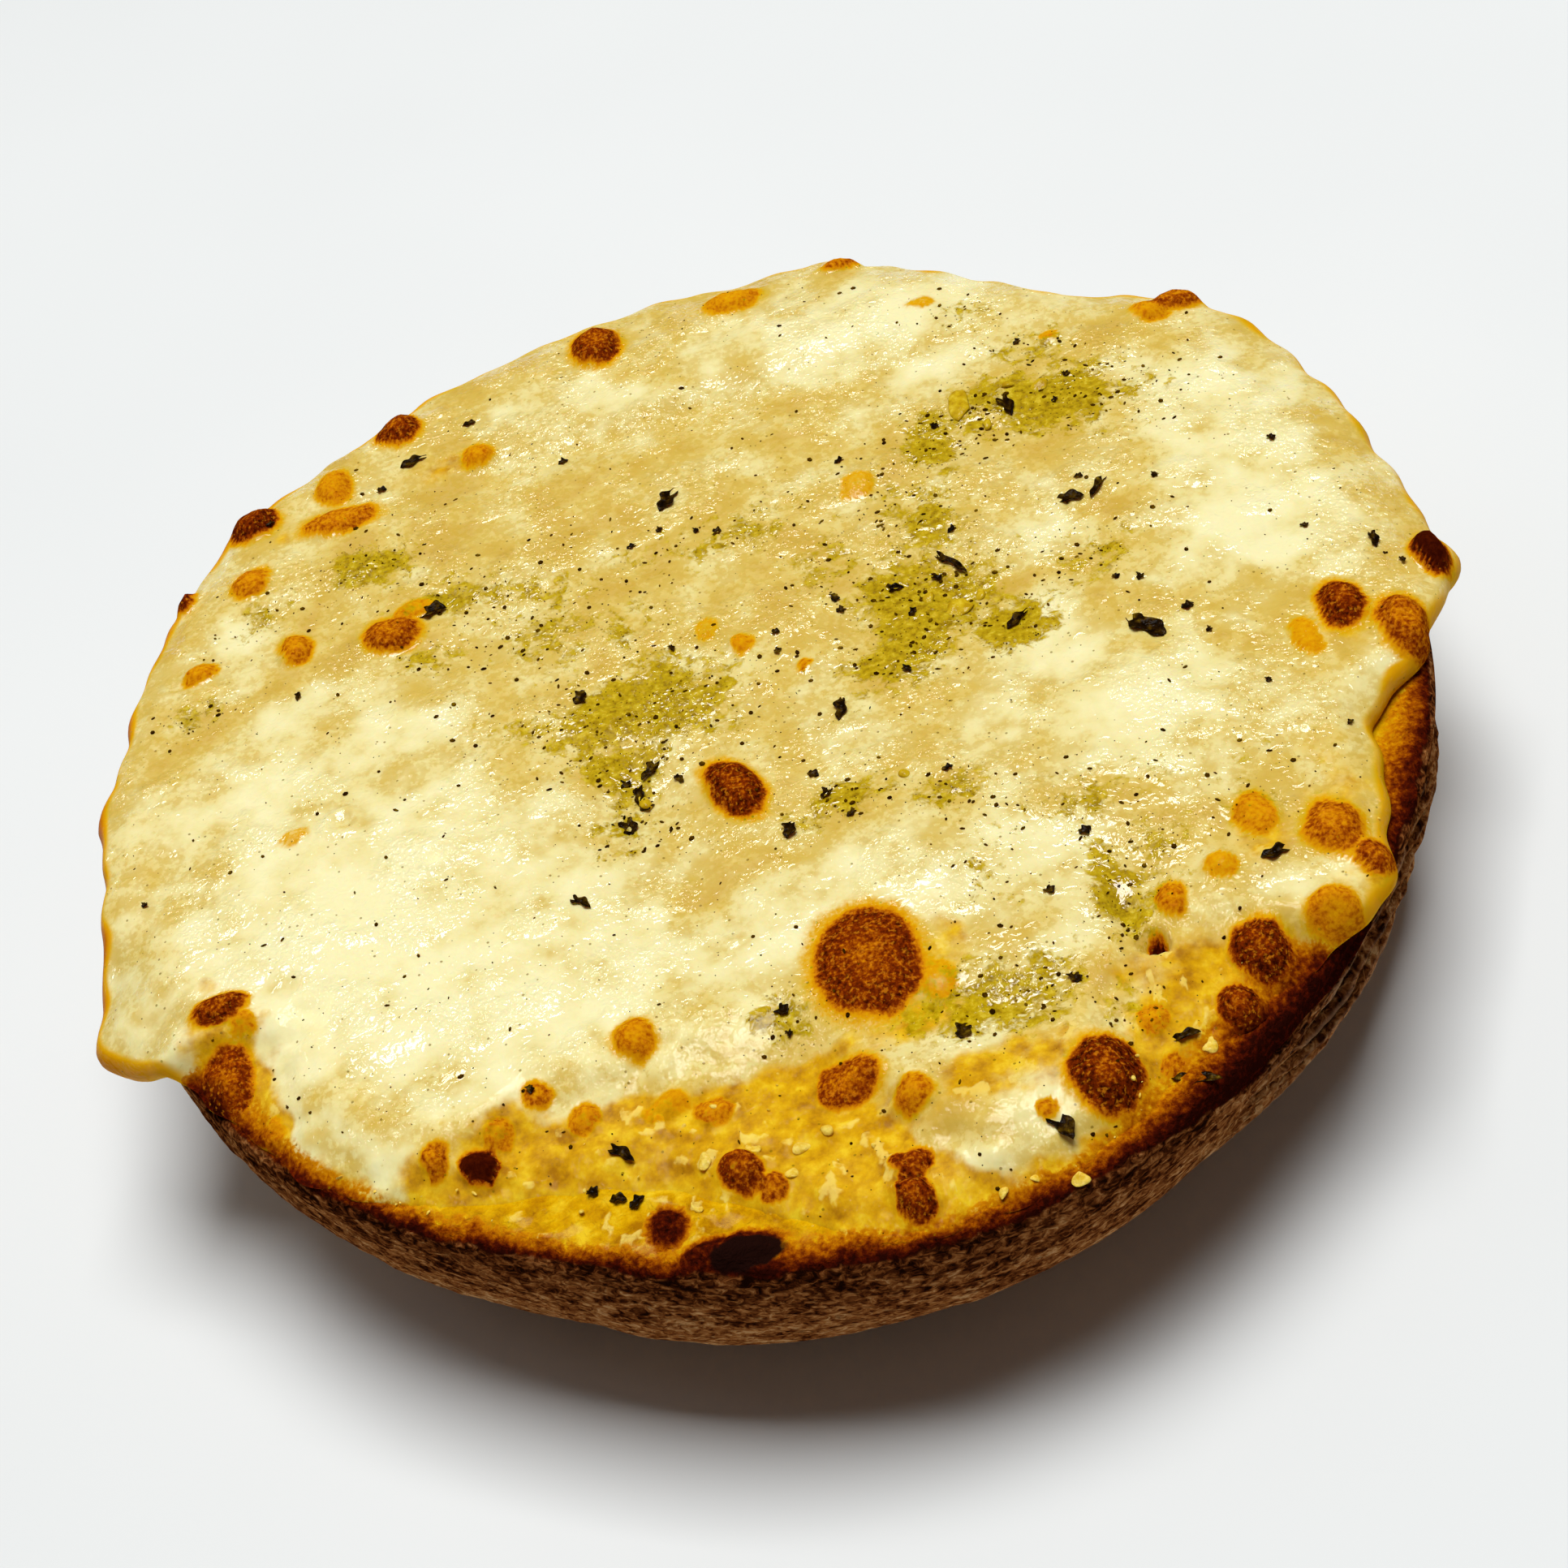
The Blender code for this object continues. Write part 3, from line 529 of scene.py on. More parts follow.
# %% Paint the bread and hand it over
BURNT_SPOT = (-10.6, -49.6, 5.6, 2.4)


def paint_bread():
    """Toast and burnt spots, and the crust's border, which the seam rolls down at the front right."""
    x, y, z = vertex_places(bread)
    toast = toast_level(x, y)
    for place in RIM_LUMPS[:2]:
        toast = np.maximum(toast, smooth_step(1.4, 0.8, oval(x, y, place)) * 0.85)
    rolled = 1.9 * smooth_step(286.0, 300.0, bread_angle) * smooth_step(324.0, 312.0, bread_angle)
    below = smooth_step(-0.35, -1.15, bread_height + rolled + 0.3 * hills(2.2, 23, x, y, z))
    burnt = smooth_step(1.25, 0.6, oval(x, y, BURNT_SPOT)) * smooth_step(-3.0, -1.6, bread_height)
    # crest carries the seam's ridge heights, which the bread material turns into a painted highlight and a
    # painted shade.
    paint(bread, toast=toast, crust_side=below, crest=0.5 + 0.5 * bread_ridges, burnt=burnt,
          depth=-bread_height / CUT_HEIGHT, lumps=smooth_step(0.0, LUMP_HEIGHT, crumb_lumps(x, y)))


paint_bread()
centre_piece(bread)
bread.data.shade_smooth()
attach(bread, "root")
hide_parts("bread")

# %% [markdown]
# ## The cheese
#
# The sheet starts as a square grid, because a grid has faces of one size everywhere. It
# is pulled round to a disc, its border is extruded down as a lip, and the underside is
# closed. Then each vertex goes to its real place: out to the lobed edge, and up between
# the underside, which follows the bread, and the top with its mounds and blisters.

# %% Make a round sheet from a square grid
SHEET_GRID = 262
DISC_RADIUS = 50.0
TOP_SHARE = 0.988


def round_off(obj):
    """Pull a square grid round: squares about the middle become circles."""
    x, y, z = vertex_places(obj)
    reach, smaller = np.maximum(np.abs(x), np.abs(y)), np.minimum(np.abs(x), np.abs(y))
    lean = smaller / np.maximum(reach, 1e-6) * math.pi / 4.0
    long_side, short_side = reach * np.cos(lean), reach * np.sin(lean)
    wide = np.abs(x) >= np.abs(y)
    new_x = np.sign(x) * np.where(wide, long_side, short_side) * TOP_SHARE
    new_y = np.sign(y) * np.where(wide, short_side, long_side) * TOP_SHARE
    place_vertices(obj, new_x, new_y, z + 1.0)


def round_sheet():
    """A closed disc, its top at height 1 and its underside at -1."""
    obj = added(bpy.ops.mesh.primitive_grid_add, x_subdivisions=SHEET_GRID, y_subdivisions=SHEET_GRID,
                size=2.0 * DISC_RADIUS * MM)
    obj.name = "melted_cheese"
    round_off(obj)
    select_open_edges()
    lip = [(0.9925, 0.85), (0.9965, 0.55), (1.0, 0.15), (1.0, -0.3), (0.996, -0.7), (0.989, -1.0)]
    under = [(share, -1.0) for share in (0.983, 0.975, 0.965, 0.955, 0.943, 0.93, 0.9, 0.8, 0.5)]
    rings = [(share * DISC_RADIUS, height) for share, height in [(TOP_SHARE, 1.0)] + lip + under]
    extrude_rings(rings[0], rings[1:])
    close_and_face_out()
    return obj


cheese = round_sheet()
print("cheese sheet has", len(cheese.data.polygons), "faces")

# %% [markdown]
# ## The top of the cheese
#
# Steam raises low domes in melted cheese, with a grain where they brown, and its edge sets
# in small frills. Ovals in a table say where the domes are, and the hills of chance push
# their outlines about, because no bubble is a clean oval.

# %% The edge and the blisters
FRILL = 0.30
SMALL_FRILL = 0.18


def cheese_edge(angle):
    """The lobed outline, with small frills and smaller ones on them."""
    frill = FRILL * np.sin(np.radians(23.0 * angle) + 1.0) * np.sin(np.radians(7.0 * angle))
    return at_angle(EDGE_OUTLINE, angle) + frill + SMALL_FRILL * np.sin(np.radians(61.0 * angle + 40.0))


def inside_white(x, y, radius, angle):
    """How far inside the white edge a place is, in millimetres, along a ragged border."""
    return at_angle(WHITE_OUTLINE, angle) - radius + 1.3 * hills(3.0, 35, x, y) + 0.7 * hills(1.2, 36, x, y)


def pushed(x, y, size, coarse, fine, seeds):
    """Places pushed about a little, which makes an oval ragged: coarsely, then finely."""
    for_x, for_y = seeds[:2], seeds[2:]
    return [start + coarse * hills(size, first, x, y) + fine * hills(0.8, second, x, y)
            for start, (first, second) in ((x, for_x), (y, for_y))]


def blister_heights(x, y):
    """The low domes that steam raised, grainy where they browned."""
    wavy_x, wavy_y = pushed(x, y, 1.9, 0.45, 0.15, (31, 37, 32, 38))
    grain = 0.55 * hills(0.55, 33, x, y) + 0.45 * hills(1.1, 34, x, y)
    total = np.zeros_like(x)
    for blister in BLISTERS:
        off = oval(wavy_x, wavy_y, blister)
        dome = smooth_step(1.12, 0.35, off)
        total = np.maximum(total, dome * (blister[4] + 0.22 * grain * blister[5]))
    for crater in CRATERS:
        off = oval(wavy_x, wavy_y, crater)
        total = total + 0.28 * np.exp(-((off - 0.8) / 0.22) ** 2) - 0.25 * np.exp(-(off / 0.5) ** 2)
    for pit in PITS:
        total = total - pit[4] * np.exp(-oval(wavy_x, wavy_y, pit) ** 4)
    return total


middles = np.array([blister[:2] for blister in BLISTERS]).T
print("the highest blister stands", round(float(blister_heights(*middles).max()), 2), "mm up")

# %% [markdown]
# ## How high the cheese stands
#
# The height of the top is a sum: the sheet's own thickness, broad mounds and hollows,
# small hills, and the blisters. Beyond the white edge only a film is left, which lies on
# the lumps of the crumb. Where the sheet hangs over the rim it droops. The same function
# later seats the herbs.

# %% Heights of the cheese
RIPPLE_TURN = 17.0
RIPPLE_STRETCH = 2.6
RIPPLE_HEIGHT = 0.13


def sheet_thickness(x, y):
    thickness = SHEET_THICKNESS + sum(mound(x, y, place) for place in RELIEF)
    small = 0.16 * hills(5.0, 41, x, y) + 0.12 * hills(2.4, 42, x, y) + 0.07 * hills(1.15, 43, x, y)
    turn = math.radians(RIPPLE_TURN)
    along = (x * math.cos(turn) + y * math.sin(turn)) / RIPPLE_STRETCH
    across = y * math.cos(turn) - x * math.sin(turn)
    return thickness + small + RIPPLE_HEIGHT * hills(2.7, 44, along, across)


def sheet_heights(radius, angle):
    """The underside and the top of the cheese, from the cut face."""
    x, y = on_circle(radius, angle)
    edge, rim = cheese_edge(angle), at_angle(RIM_OUTLINE, angle)
    most_droop = at_angle(DROOP_OUTLINE, angle)
    # A lobe that hangs over the rim follows its curve down, but no further than its droop.
    droop = most_droop * smooth_step(0.8, 3.0, edge - rim)
    past_rim = np.clip((radius - rim - LIP_CLEARANCE) / RIM_ROUNDING + 1.0, 0.0, 1.0)
    fall = (RIM_DROP + most_droop) * (1.0 - np.sqrt(1.0 - past_rim ** 2))
    white = smooth_step(-1.5, 6.0, inside_white(x, y, radius, angle))
    # The edge is rounded off, thinner at the front, and the film sinks into the crumb there.
    under = -0.1 - 0.3 * (1.0 - white) - np.minimum(fall, droop)
    least = 0.8 - 0.16 * smooth_step(196.0, 206.0, angle) * smooth_step(352.0, 342.0, angle)
    rounded = least + (1.0 - least) * smooth_step(-0.3, 3.2, edge - radius)
    film = FILM_THICKNESS * smooth_step(0.3, 4.0, edge - radius) + np.maximum(crumb_lumps(x, y), -0.05)
    film = film - 0.22 * smooth_step(1.1, 0.2, edge - radius)
    body = film * (1.0 - white) + sheet_thickness(x, y) * rounded * white
    top = body - droop * smooth_step(rim - 4.0, edge, radius) + blister_heights(x, y)
    return under, np.maximum(top, under + 0.06)


def cheese_top(x, y):
    """The height of the cheese above the cut face, at one place or many."""
    radius, angle = polar(np.atleast_1d(x), np.atleast_1d(y))
    return sheet_heights(radius, angle)[1]


def shape_cheese():
    x, y, z = vertex_places(cheese)
    radius, angle = polar(x, y)
    radius = radius / DISC_RADIUS * cheese_edge(angle)
    under, top = sheet_heights(radius, angle)
    height = under + (top - under) * (z + 1.0) / 2.0
    place_vertices(cheese, *on_circle(radius, angle), height)


shape_cheese()
print("cheese top is", round(float(vertex_places(cheese)[2].max()), 2), "mm above the cut face at most")

# %% [markdown]
# ## Colour follows heat, oil and thickness
#
# The cheese gets painted numbers: how brown, oily, pale, golden and toasted it is, where
# oil drained off the slope, where the lip browned and where crumbs stand up. Borders are
# pushed about by the random hills, so that no stain is a clean oval.

# %% Paint the cheese
PALE_HEART = 0.20
BURNT = 0.9


def browning(x, y, film):
    """How brown the cheese is: most on the blisters, paler in their middle, gold in a ring round them."""
    wavy_x, wavy_y = pushed(x, y, 2.0, 0.40, 0.22, (51, 52, 53, 54))
    brown = np.zeros_like(x)
    for blister in BLISTERS:
        off = oval(wavy_x, wavy_y, blister)
        heart = PALE_HEART * smooth_step(0.75, 0.1, off) * (blister[5] < BURNT)
        core = smooth_step(1.10, 0.78, off) * blister[5] * (1.0 - heart)
        halo = smooth_step(1.40, 0.95, off) * min(0.26, blister[5] * 0.4) * (1.0 - film)
        brown = np.maximum(brown, np.maximum(core, halo))
    return np.maximum(brown, smooth_step(1.2, 0.6, oval(wavy_x, wavy_y, PITS[0])))


def paint_cheese():
    x, y, z = vertex_places(cheese)
    radius, angle = polar(x, y)
    rough = 0.30 * hills(2.6, 61, x, y) + 0.24 * hills(1.2, 62, x, y)
    oil = strongest(x, y, OIL_STAINS)
    pale = strongest(x, y, PALE_AREAS)
    gold = strongest(x, y, GOLD_AREAS)
    inside = inside_white(x, y, radius, angle)
    film = smooth_step(1.8, -1.0, inside)
    back_lip = smooth_step(1.4, 0.0, cheese_edge(angle) - radius + 0.7 * hills(2.6, 63, x, y))
    back_lip = back_lip * (0.6 + 0.4 * smooth_step(100.0, 125.0, angle) * smooth_step(205.0, 190.0, angle))
    paint(cheese, brown=browning(x, y, film), oil=oil + rough * smooth_step(0.0, 0.35, oil),
          pale=0.8 * pale + 0.65 * rough, toast=toast_level(x, y) * film,
          gold=np.maximum(gold + rough * smooth_step(0.0, 0.3, gold), film),
          drained=smooth_step(-2.0, 1.0, inside) * smooth_step(7.5, 4.5, inside),
          lip=back_lip * (1.0 - film), lumps=smooth_step(0.0, LUMP_HEIGHT, crumb_lumps(x, y)))


paint_cheese()
centre_piece(cheese)
cheese.data.shade_smooth()
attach(cheese, "root")
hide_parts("cheese")

# %% [markdown]
# ## Small things by the hundred
#
# Herbs and crumbs are modelled once and then stamped many times into one mesh, so that
# each kind is one piece. A stamp has a place, a size along, across and up, a turn and a
# tilt. After stamping, the hills of chance crumple every copy in its own way.

# %% Stamp one small shape many times
CRUMPLE_SIZE = 0.9
CRUMB_TOP = 0.2


def stamp(name, shape, stamps, crumple):
    """Join one copy of a shape for each stamp: x, y, z, along, across, up, turn, tilt."""
    corners = np.empty(len(shape.data.vertices) * 3, dtype=np.float32)
    shape.data.vertices.foreach_get("co", corners)
    corners = corners.reshape(-1, 3)
    faces = [tuple(face.vertices) for face in shape.data.polygons]
    all_corners, all_faces = [], []
    for count, (x, y, z, along, across, up, turn, tilt) in enumerate(stamps):
        size = Matrix.Diagonal((along, across, up, 1.0))
        lean = Matrix.Rotation(math.radians(tilt), 4, "Y")
        spin = Matrix.Rotation(math.radians(turn), 4, "Z")
        place = np.array(Matrix.Translation((x, y, z)) @ spin @ lean @ size)
        all_corners.append(corners @ place[:3, :3].T + place[:3, 3])
        first = count * len(corners)
        all_faces.extend(tuple(first + corner for corner in face) for face in faces)
    corners = np.concatenate(all_corners)
    x, y, z = corners.T
    for axis in range(3):
        corners[:, axis] = corners[:, axis] + crumple * hills(CRUMPLE_SIZE, 71 + axis, x, y, z)
    mesh = bpy.data.meshes.new(name)
    mesh.from_pydata((corners * MM).tolist(), [], all_faces)
    mesh.update()
    obj = bpy.data.objects.new(name, mesh)
    bpy.context.scene.collection.objects.link(obj)
    bpy.data.objects.remove(shape)
    centre_piece(obj)
    obj.data.shade_smooth()
    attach(obj, "root")
    print(name, "has", len(stamps), "pieces and", len(mesh.polygons), "faces")
    return obj


def seat(x, y, lift, crumb=False):
    """The height at which a small thing lies, on the cheese or on the bare crumb."""
    return CRUMB_TOP + lift if crumb else float(cheese_top(x, y)[0]) + lift


# %% [markdown]
# ## The dried herbs
#
# Dried herbs come as broken leaf, bits of stalk and dust. The large pieces are placed one
# by one, because the eye finds them first. The dust is thrown at random, thickest where
# the oil stained the cheese.

# %% Where the leaves and stalks lie
LEAVES = [
    (-12, -10.1, 2.4, 1.1, 92), (-9.3, -5, 2.5, 0.8, 46), (-16.6, -17, 2.3, 0.8, 125),
    (5.9, -4.7, 2.6, 0.8, 71), (-2.6, 25.2, 3, 1.2, 45), (-23.1, 40, 2.6, 0.8, 14),
    (-26.3, 37.6, 1.01, 0.59, 160), (26.7, 25.1, 3.4, 1, 95), (28.4, 11.2, 2.4, 1.1, 170),
    (31, 11.7, 3.2, 0.7, 48), (17.6, 8.4, 4.6, 0.6, 118), (29.9, -5.4, 4.1, 1.6, 118),
    (33.5, -4.5, 1.01, 0.68, 1), (21, -0.4, 2.7, 0.7, 35), (11.6, -47.5, 3.4, 1.2, 101),
    (-4.4, -31.9, 1.4, 0.9, 112), (-4.3, -33.8, 1.01, 0.42, 90), (31.9, -30.9, 2.4, 0.9, 0),
    (-23.7, 19.8, 2.4, 1.2, 169), (48.9, -2.6, 2.2, 0.7, 80), (45.3, 11.5, 1.01, 0.51, 91),
    (-17.6, -39.1, 2.8, 0.8, 129), (21.5, -42.8, 2.2, 0.6, 175), (-36.2, 36.9, 0.86, 0.51, 20),
    (-10.5, 34.7, 0.94, 0.68, 10), (-1.1, 20.3, 0.72, 0.54, 60), (0.5, 19.5, 0.94, 0.7, 160),
    (-3.9, 21.6, 0.72, 0.54, 30), (-6.5, 20.7, 0.86, 0.51, 15), (-5.5, 7.2, 1.01, 0.42, 95),
    (-13.3, 4.5, 1.4, 1.05, 40), (-17.7, 43.1, 1.08, 0.68, 170), (29.6, 32.5, 0.94, 0.51, 30),
    (32.3, 26.6, 0.86, 0.59, 80), (30.6, 23.9, 0.72, 0.54, 10), (20.5, 25.1, 0.79, 0.59, 70),
    (29.8, 13.4, 0.86, 0.51, 150), (35.4, 10.7, 0.72, 0.51, 40), (18.8, 11.8, 1.01, 0.42, 20),
    (12.8, 7.2, 1.7, 0.7, 160), (8.1, 7.5, 0.94, 0.7, 70), (8.3, 6.1, 0.86, 0.59, 20),
    (16.2, 6.9, 0.86, 0.65, 120), (31.1, 0.1, 0.94, 0.51, 45), (29.4, 0.9, 0.72, 0.51, 110),
    (34.3, -7.7, 0.72, 0.51, 20), (36.7, -14.5, 0.65, 0.42, 60), (44.4, 0.8, 0.72, 0.51, 100),
    (50.1, -5.6, 0.86, 0.42, 80), (40.8, -20.5, 0.72, 0.42, 30), (2.5, -10.8, 0.86, 0.59, 140),
    (3, -13.1, 1.4, 0.7, 45), (4.4, -16, 1.01, 0.51, 20), (-0.4, -15.9, 1.7, 0.9, 60),
    (12.1, -14.3, 0.86, 0.59, 10), (16.1, -28.4, 0.94, 0.7, 110), (11.7, -2.5, 0.86, 0.65, 30),
    (2.8, 5.3, 0.86, 0.51, 150), (2.6, 3.1, 0.65, 0.49, 20), (-49.2, -4.6, 0.65, 0.49, 60),
    (-22.6, -32.8, 0.79, 0.59, 80), (7.3, -38.2, 1.4, 1.05, 50), (15.7, -36.5, 1.08, 0.77, 80),
    (-7.4, -6.9, 1.08, 0.51, 110), (-10.6, -7, 2.4, 0.9, 75), (-10.2, -8.4, 1.4, 0.8, 20),
    (-11.4, -5.6, 0.86, 0.65, 60), (13.6, 3.8, 0.94, 0.51, 30), (20, -24, 0.94, 0.68, 20),
    (-35.6, 14, 1.01, 0.42, 75), (12, 24, 1.01, 0.51, 15),
]
STALKS = [
    (-13.1, -8.4, 2.8, 0.4, 141), (-9.8, -10.7, 2.7, 0.55, 144), (-12.4, -8.9, 2.2, 0.3, 60),
    (6.1, -29.5, 3.3, 0.35, 119), (7.5, -5, 1.9, 0.25, 134), (-7.8, 8.6, 1.8, 0.25, 75),
    (30.6, -1.9, 2, 0.22, 70), (-41.2, 15.4, 2.6, 0.16, 60), (-38.4, 14, 2, 0.16, 10),
    (9.6, -9, 2.2, 0.22, 150), (13.2, 16.8, 1.8, 0.2, 40), (22.8, -9.6, 1.8, 0.18, 100),
    (3.8, -1.6, 1.6, 0.2, 20), (16.2, 10, 2.6, 0.22, 128), (-14, 36.6, 3.2, 0.14, 28),
    (-12.8, -11.4, 1.8, 0.28, 15), (34, -12, 1.8, 0.14, 60), (-6, -4.6, 3, 0.14, 10),
    (39.4, 8, 1.6, 0.14, 40), (33, 26, 1.8, 0.16, 80), (-2, 10.4, 2, 0.12, 60), (5.2, -15, 2.2, 0.16, 150),
    (13.6, 0.6, 1.9, 0.18, 170), (19, 3.2, 1.6, 0.2, 80),
]
CRUMB_LEAVES = [
    (21.3, -46.1, 3.4, 0.8, 156), (-18.4, -42.5, 1.3, 0.6, 154), (-17.2, -43.1, 1.2, 0.6, 20),
    (-20, -41.3, 0.9, 0.6, 130),
]
DUST_SEED = 5
DUST_PER_AREA = 20.0
LOOSE_DUST = 780
print(len(LEAVES) + len(CRUMB_LEAVES), "leaves and", len(STALKS), "stalks placed by hand")

# %% [markdown]
# ## One of each kind
#
# A dry leaf is thin, pointed and cupped, so it starts as a grid that a Solidify modifier
# thickens. Dust is so fine that a ball of twenty faces does.

# %% Shape a leaf, a stalk and a grain of dust
def shaped_leaf():
    """A pointed, cupped and crinkled blade, one long and one wide, with a thickness."""
    leaf = added(bpy.ops.mesh.primitive_grid_add, x_subdivisions=18, y_subdivisions=6, size=1.0)
    for vertex in leaf.data.vertices:
        along, across = vertex.co.x * 2.0, vertex.co.y * 2.0
        blade = max(1.0 - abs(along) ** 2.0, 0.0) ** 0.7 * (1.0 + 0.25 * math.sin(7.0 * along) * across)
        vertex.co.y = 0.5 * across * (blade + 0.02) + 0.10 * math.sin(2.4 * along)
        vertex.co.z = 0.30 * abs(across) * blade - 0.14 * along ** 2 + 0.06 * math.sin(6.0 * along + across)
    thick = leaf.modifiers.new("thickness", "SOLIDIFY")
    thick.thickness = 0.07
    bpy.ops.object.modifier_apply(modifier=thick.name)
    return leaf


def shaped_stalk():
    """A scrap of stalk. Its rings stand only thousandths apart, so what is left is an upright disc."""
    stalk = added(bpy.ops.mesh.primitive_circle_add, vertices=6, radius=0.5, fill_type="NGON")
    select_open_edges()
    extrude_rings((0.5, 0.0), [(0.5 - 0.02 * step, step / 8.0) for step in range(1, 9)])
    close_and_face_out()
    for vertex in stalk.data.vertices:
        along = 2.0 * vertex.co.z - 1.0
        knot = 1.0 + 0.5 * math.exp(-((along - 0.3) / 0.2) ** 2)
        across, up = vertex.co.x * knot, vertex.co.y * knot
        vertex.co = (along / 2.0, across + 0.5 * along ** 2, up)
    return stalk


def ball(subdivisions):
    return added(bpy.ops.mesh.primitive_ico_sphere_add, subdivisions=subdivisions, radius=1.0)


def dust_spots(draw):
    """Chance places, thickest near the stains."""
    spots = []
    for x, y, reach_x, reach_y, strength in OIL_STAINS:
        for _ in range(int(DUST_PER_AREA * strength * math.sqrt(reach_x * reach_y))):
            spots.append((draw.gauss(x, reach_x * 0.7), draw.gauss(y, reach_y * 0.7)))
    for _ in range(LOOSE_DUST):
        turn, out = draw.uniform(0.0, 2.0 * math.pi), 51.0 * math.sqrt(draw.random())
        spots.append((out * math.cos(turn), out * math.sin(turn)))
    return spots


def dust_stamps():
    draw = random.Random(DUST_SEED)
    spots = dust_spots(draw)
    x, y = np.array(spots).T
    radius, angle = polar(x, y)
    tops, inside = cheese_top(x, y), radius < cheese_edge(angle) - 0.8
    stamps = []
    for (spot_x, spot_y), top, keep in zip(spots, tops, inside):
        along = 0.05 + 0.24 * draw.random() ** 3.2
        across, turn = along * draw.uniform(0.4, 0.9), draw.uniform(0.0, 180.0)
        if keep:
            stamps.append((spot_x, spot_y, float(top) + 0.01, along, across, 0.5 * across, turn, 0.0))
    return stamps


flakes = [(x, y, seat(x, y, 0.08), a, b, min(0.8, 0.5 * a), turn, 3.0) for x, y, a, b, turn in LEAVES]
flakes += [(x, y, seat(x, y, 0.06, True), a, b, 0.6, turn, 2.0) for x, y, a, b, turn in CRUMB_LEAVES]
twigs = [(x, y, seat(x, y, 0.16), a, b, b, turn, 4.0) for x, y, a, b, turn in STALKS]
leaves = stamp("herb_leaves", shaped_leaf(), flakes, 0.14)
stalks = stamp("herb_stalks", shaped_stalk(), twigs, 0.08)
dust = stamp("herb_dust", ball(1), dust_stamps(), 0.04)

# %% [markdown]
# ## Crumbs on the film, and oily chips
#
# A few pale bits of cheese and crumb lie on the golden strip at the front, and some chips
# soaked in oil lie in the stains. All are lumpy grains, so one ball that is stamped in
# many sizes and crumpled will do for both.

# %% Pale bits
LARGE_BITS = [
    (22.9, -43.6, 0.7, 0.6), (11.7, -51.4, 0.55, 0.5), (6.7, -50.8, 0.5, 0.4), (9, -50.4, 0.6, 0.3),
    (-15, -43.2, 0.6, 0.4), (-12, -42, 0.7, 0.5), (-8.6, -42, 0.6, 0.5), (-5.4, -43, 0.7, 0.4),
    (-3.6, -42.6, 0.5, 0.4), (-13.4, -45, 0.5, 0.4), (-6.6, -44.8, 0.5, 0.35),
]


BITS_SEED = 9
BITS_IN_ALL = 52


def bit_stamps():
    draw = random.Random(BITS_SEED)
    stamps = [(x, y, seat(x, y, 0.0), a, b, 0.42 * b, draw.uniform(0, 180), 0.0)
              for x, y, a, b in LARGE_BITS]
    while len(stamps) < BITS_IN_ALL:
        angle = draw.choice([draw.uniform(222, 300), draw.uniform(228, 262), draw.uniform(288, 325)])
        inner, outer = float(at_angle(WHITE_OUTLINE, angle)), float(at_angle(RIM_OUTLINE, angle)) - 1.5
        radius = draw.uniform(min(inner, outer), outer)
        size = 0.08 + 0.16 * draw.random() ** 2
        x, y = on_circle(radius, angle)
        bare = radius > cheese_edge(angle)
        stamps.append((x, y, seat(x, y, 0.02, bare), size, size * draw.uniform(0.5, 0.9), size * 0.5,
                       draw.uniform(0, 180), 0.0))
    return stamps


bits = stamp("pale_bits", ball(3), bit_stamps(), 0.34)
CHIPS = [
    (17, 2.8, 1.35, 0.85, 0), (22.9, 26.5, 2, 0.9, 80), (-10.3, -8, 0.55, 0.8, 20),
    (15.2, 4.8, 0.6, 0.4, 40), (19.2, 3.6, 0.6, 0.4, 70), (29.8, 26.2, 0.8, 0.5, 30),
    (27.4, 27.2, 0.6, 0.4, 150), (24.6, 23.2, 0.6, 0.5, 60), (8.8, -13.6, 0.5, 0.4, 40),
]
oily = [(x, y, seat(x, y, 0.02), a, b, 0.28, turn, 0.0) for x, y, a, b, turn in CHIPS]
chips = stamp("oily_chips", ball(3), oily, 0.3)

# %% [markdown]
# ## Building materials from nodes
#
# A material here is a small sum of nodes. These helpers add a node, join it, and make
# the few kinds that come up again: noise of a given grain, a colour ramp, arithmetic.

# %% Node helpers
def srgb(red, green, blue):
    """A colour as read off a screen, turned into the light it stands for."""
    def light(value):
        value = value / 255.0
        return value / 12.92 if value <= 0.04045 else ((value + 0.055) / 1.055) ** 2.4
    return (light(red), light(green), light(blue), 1.0)


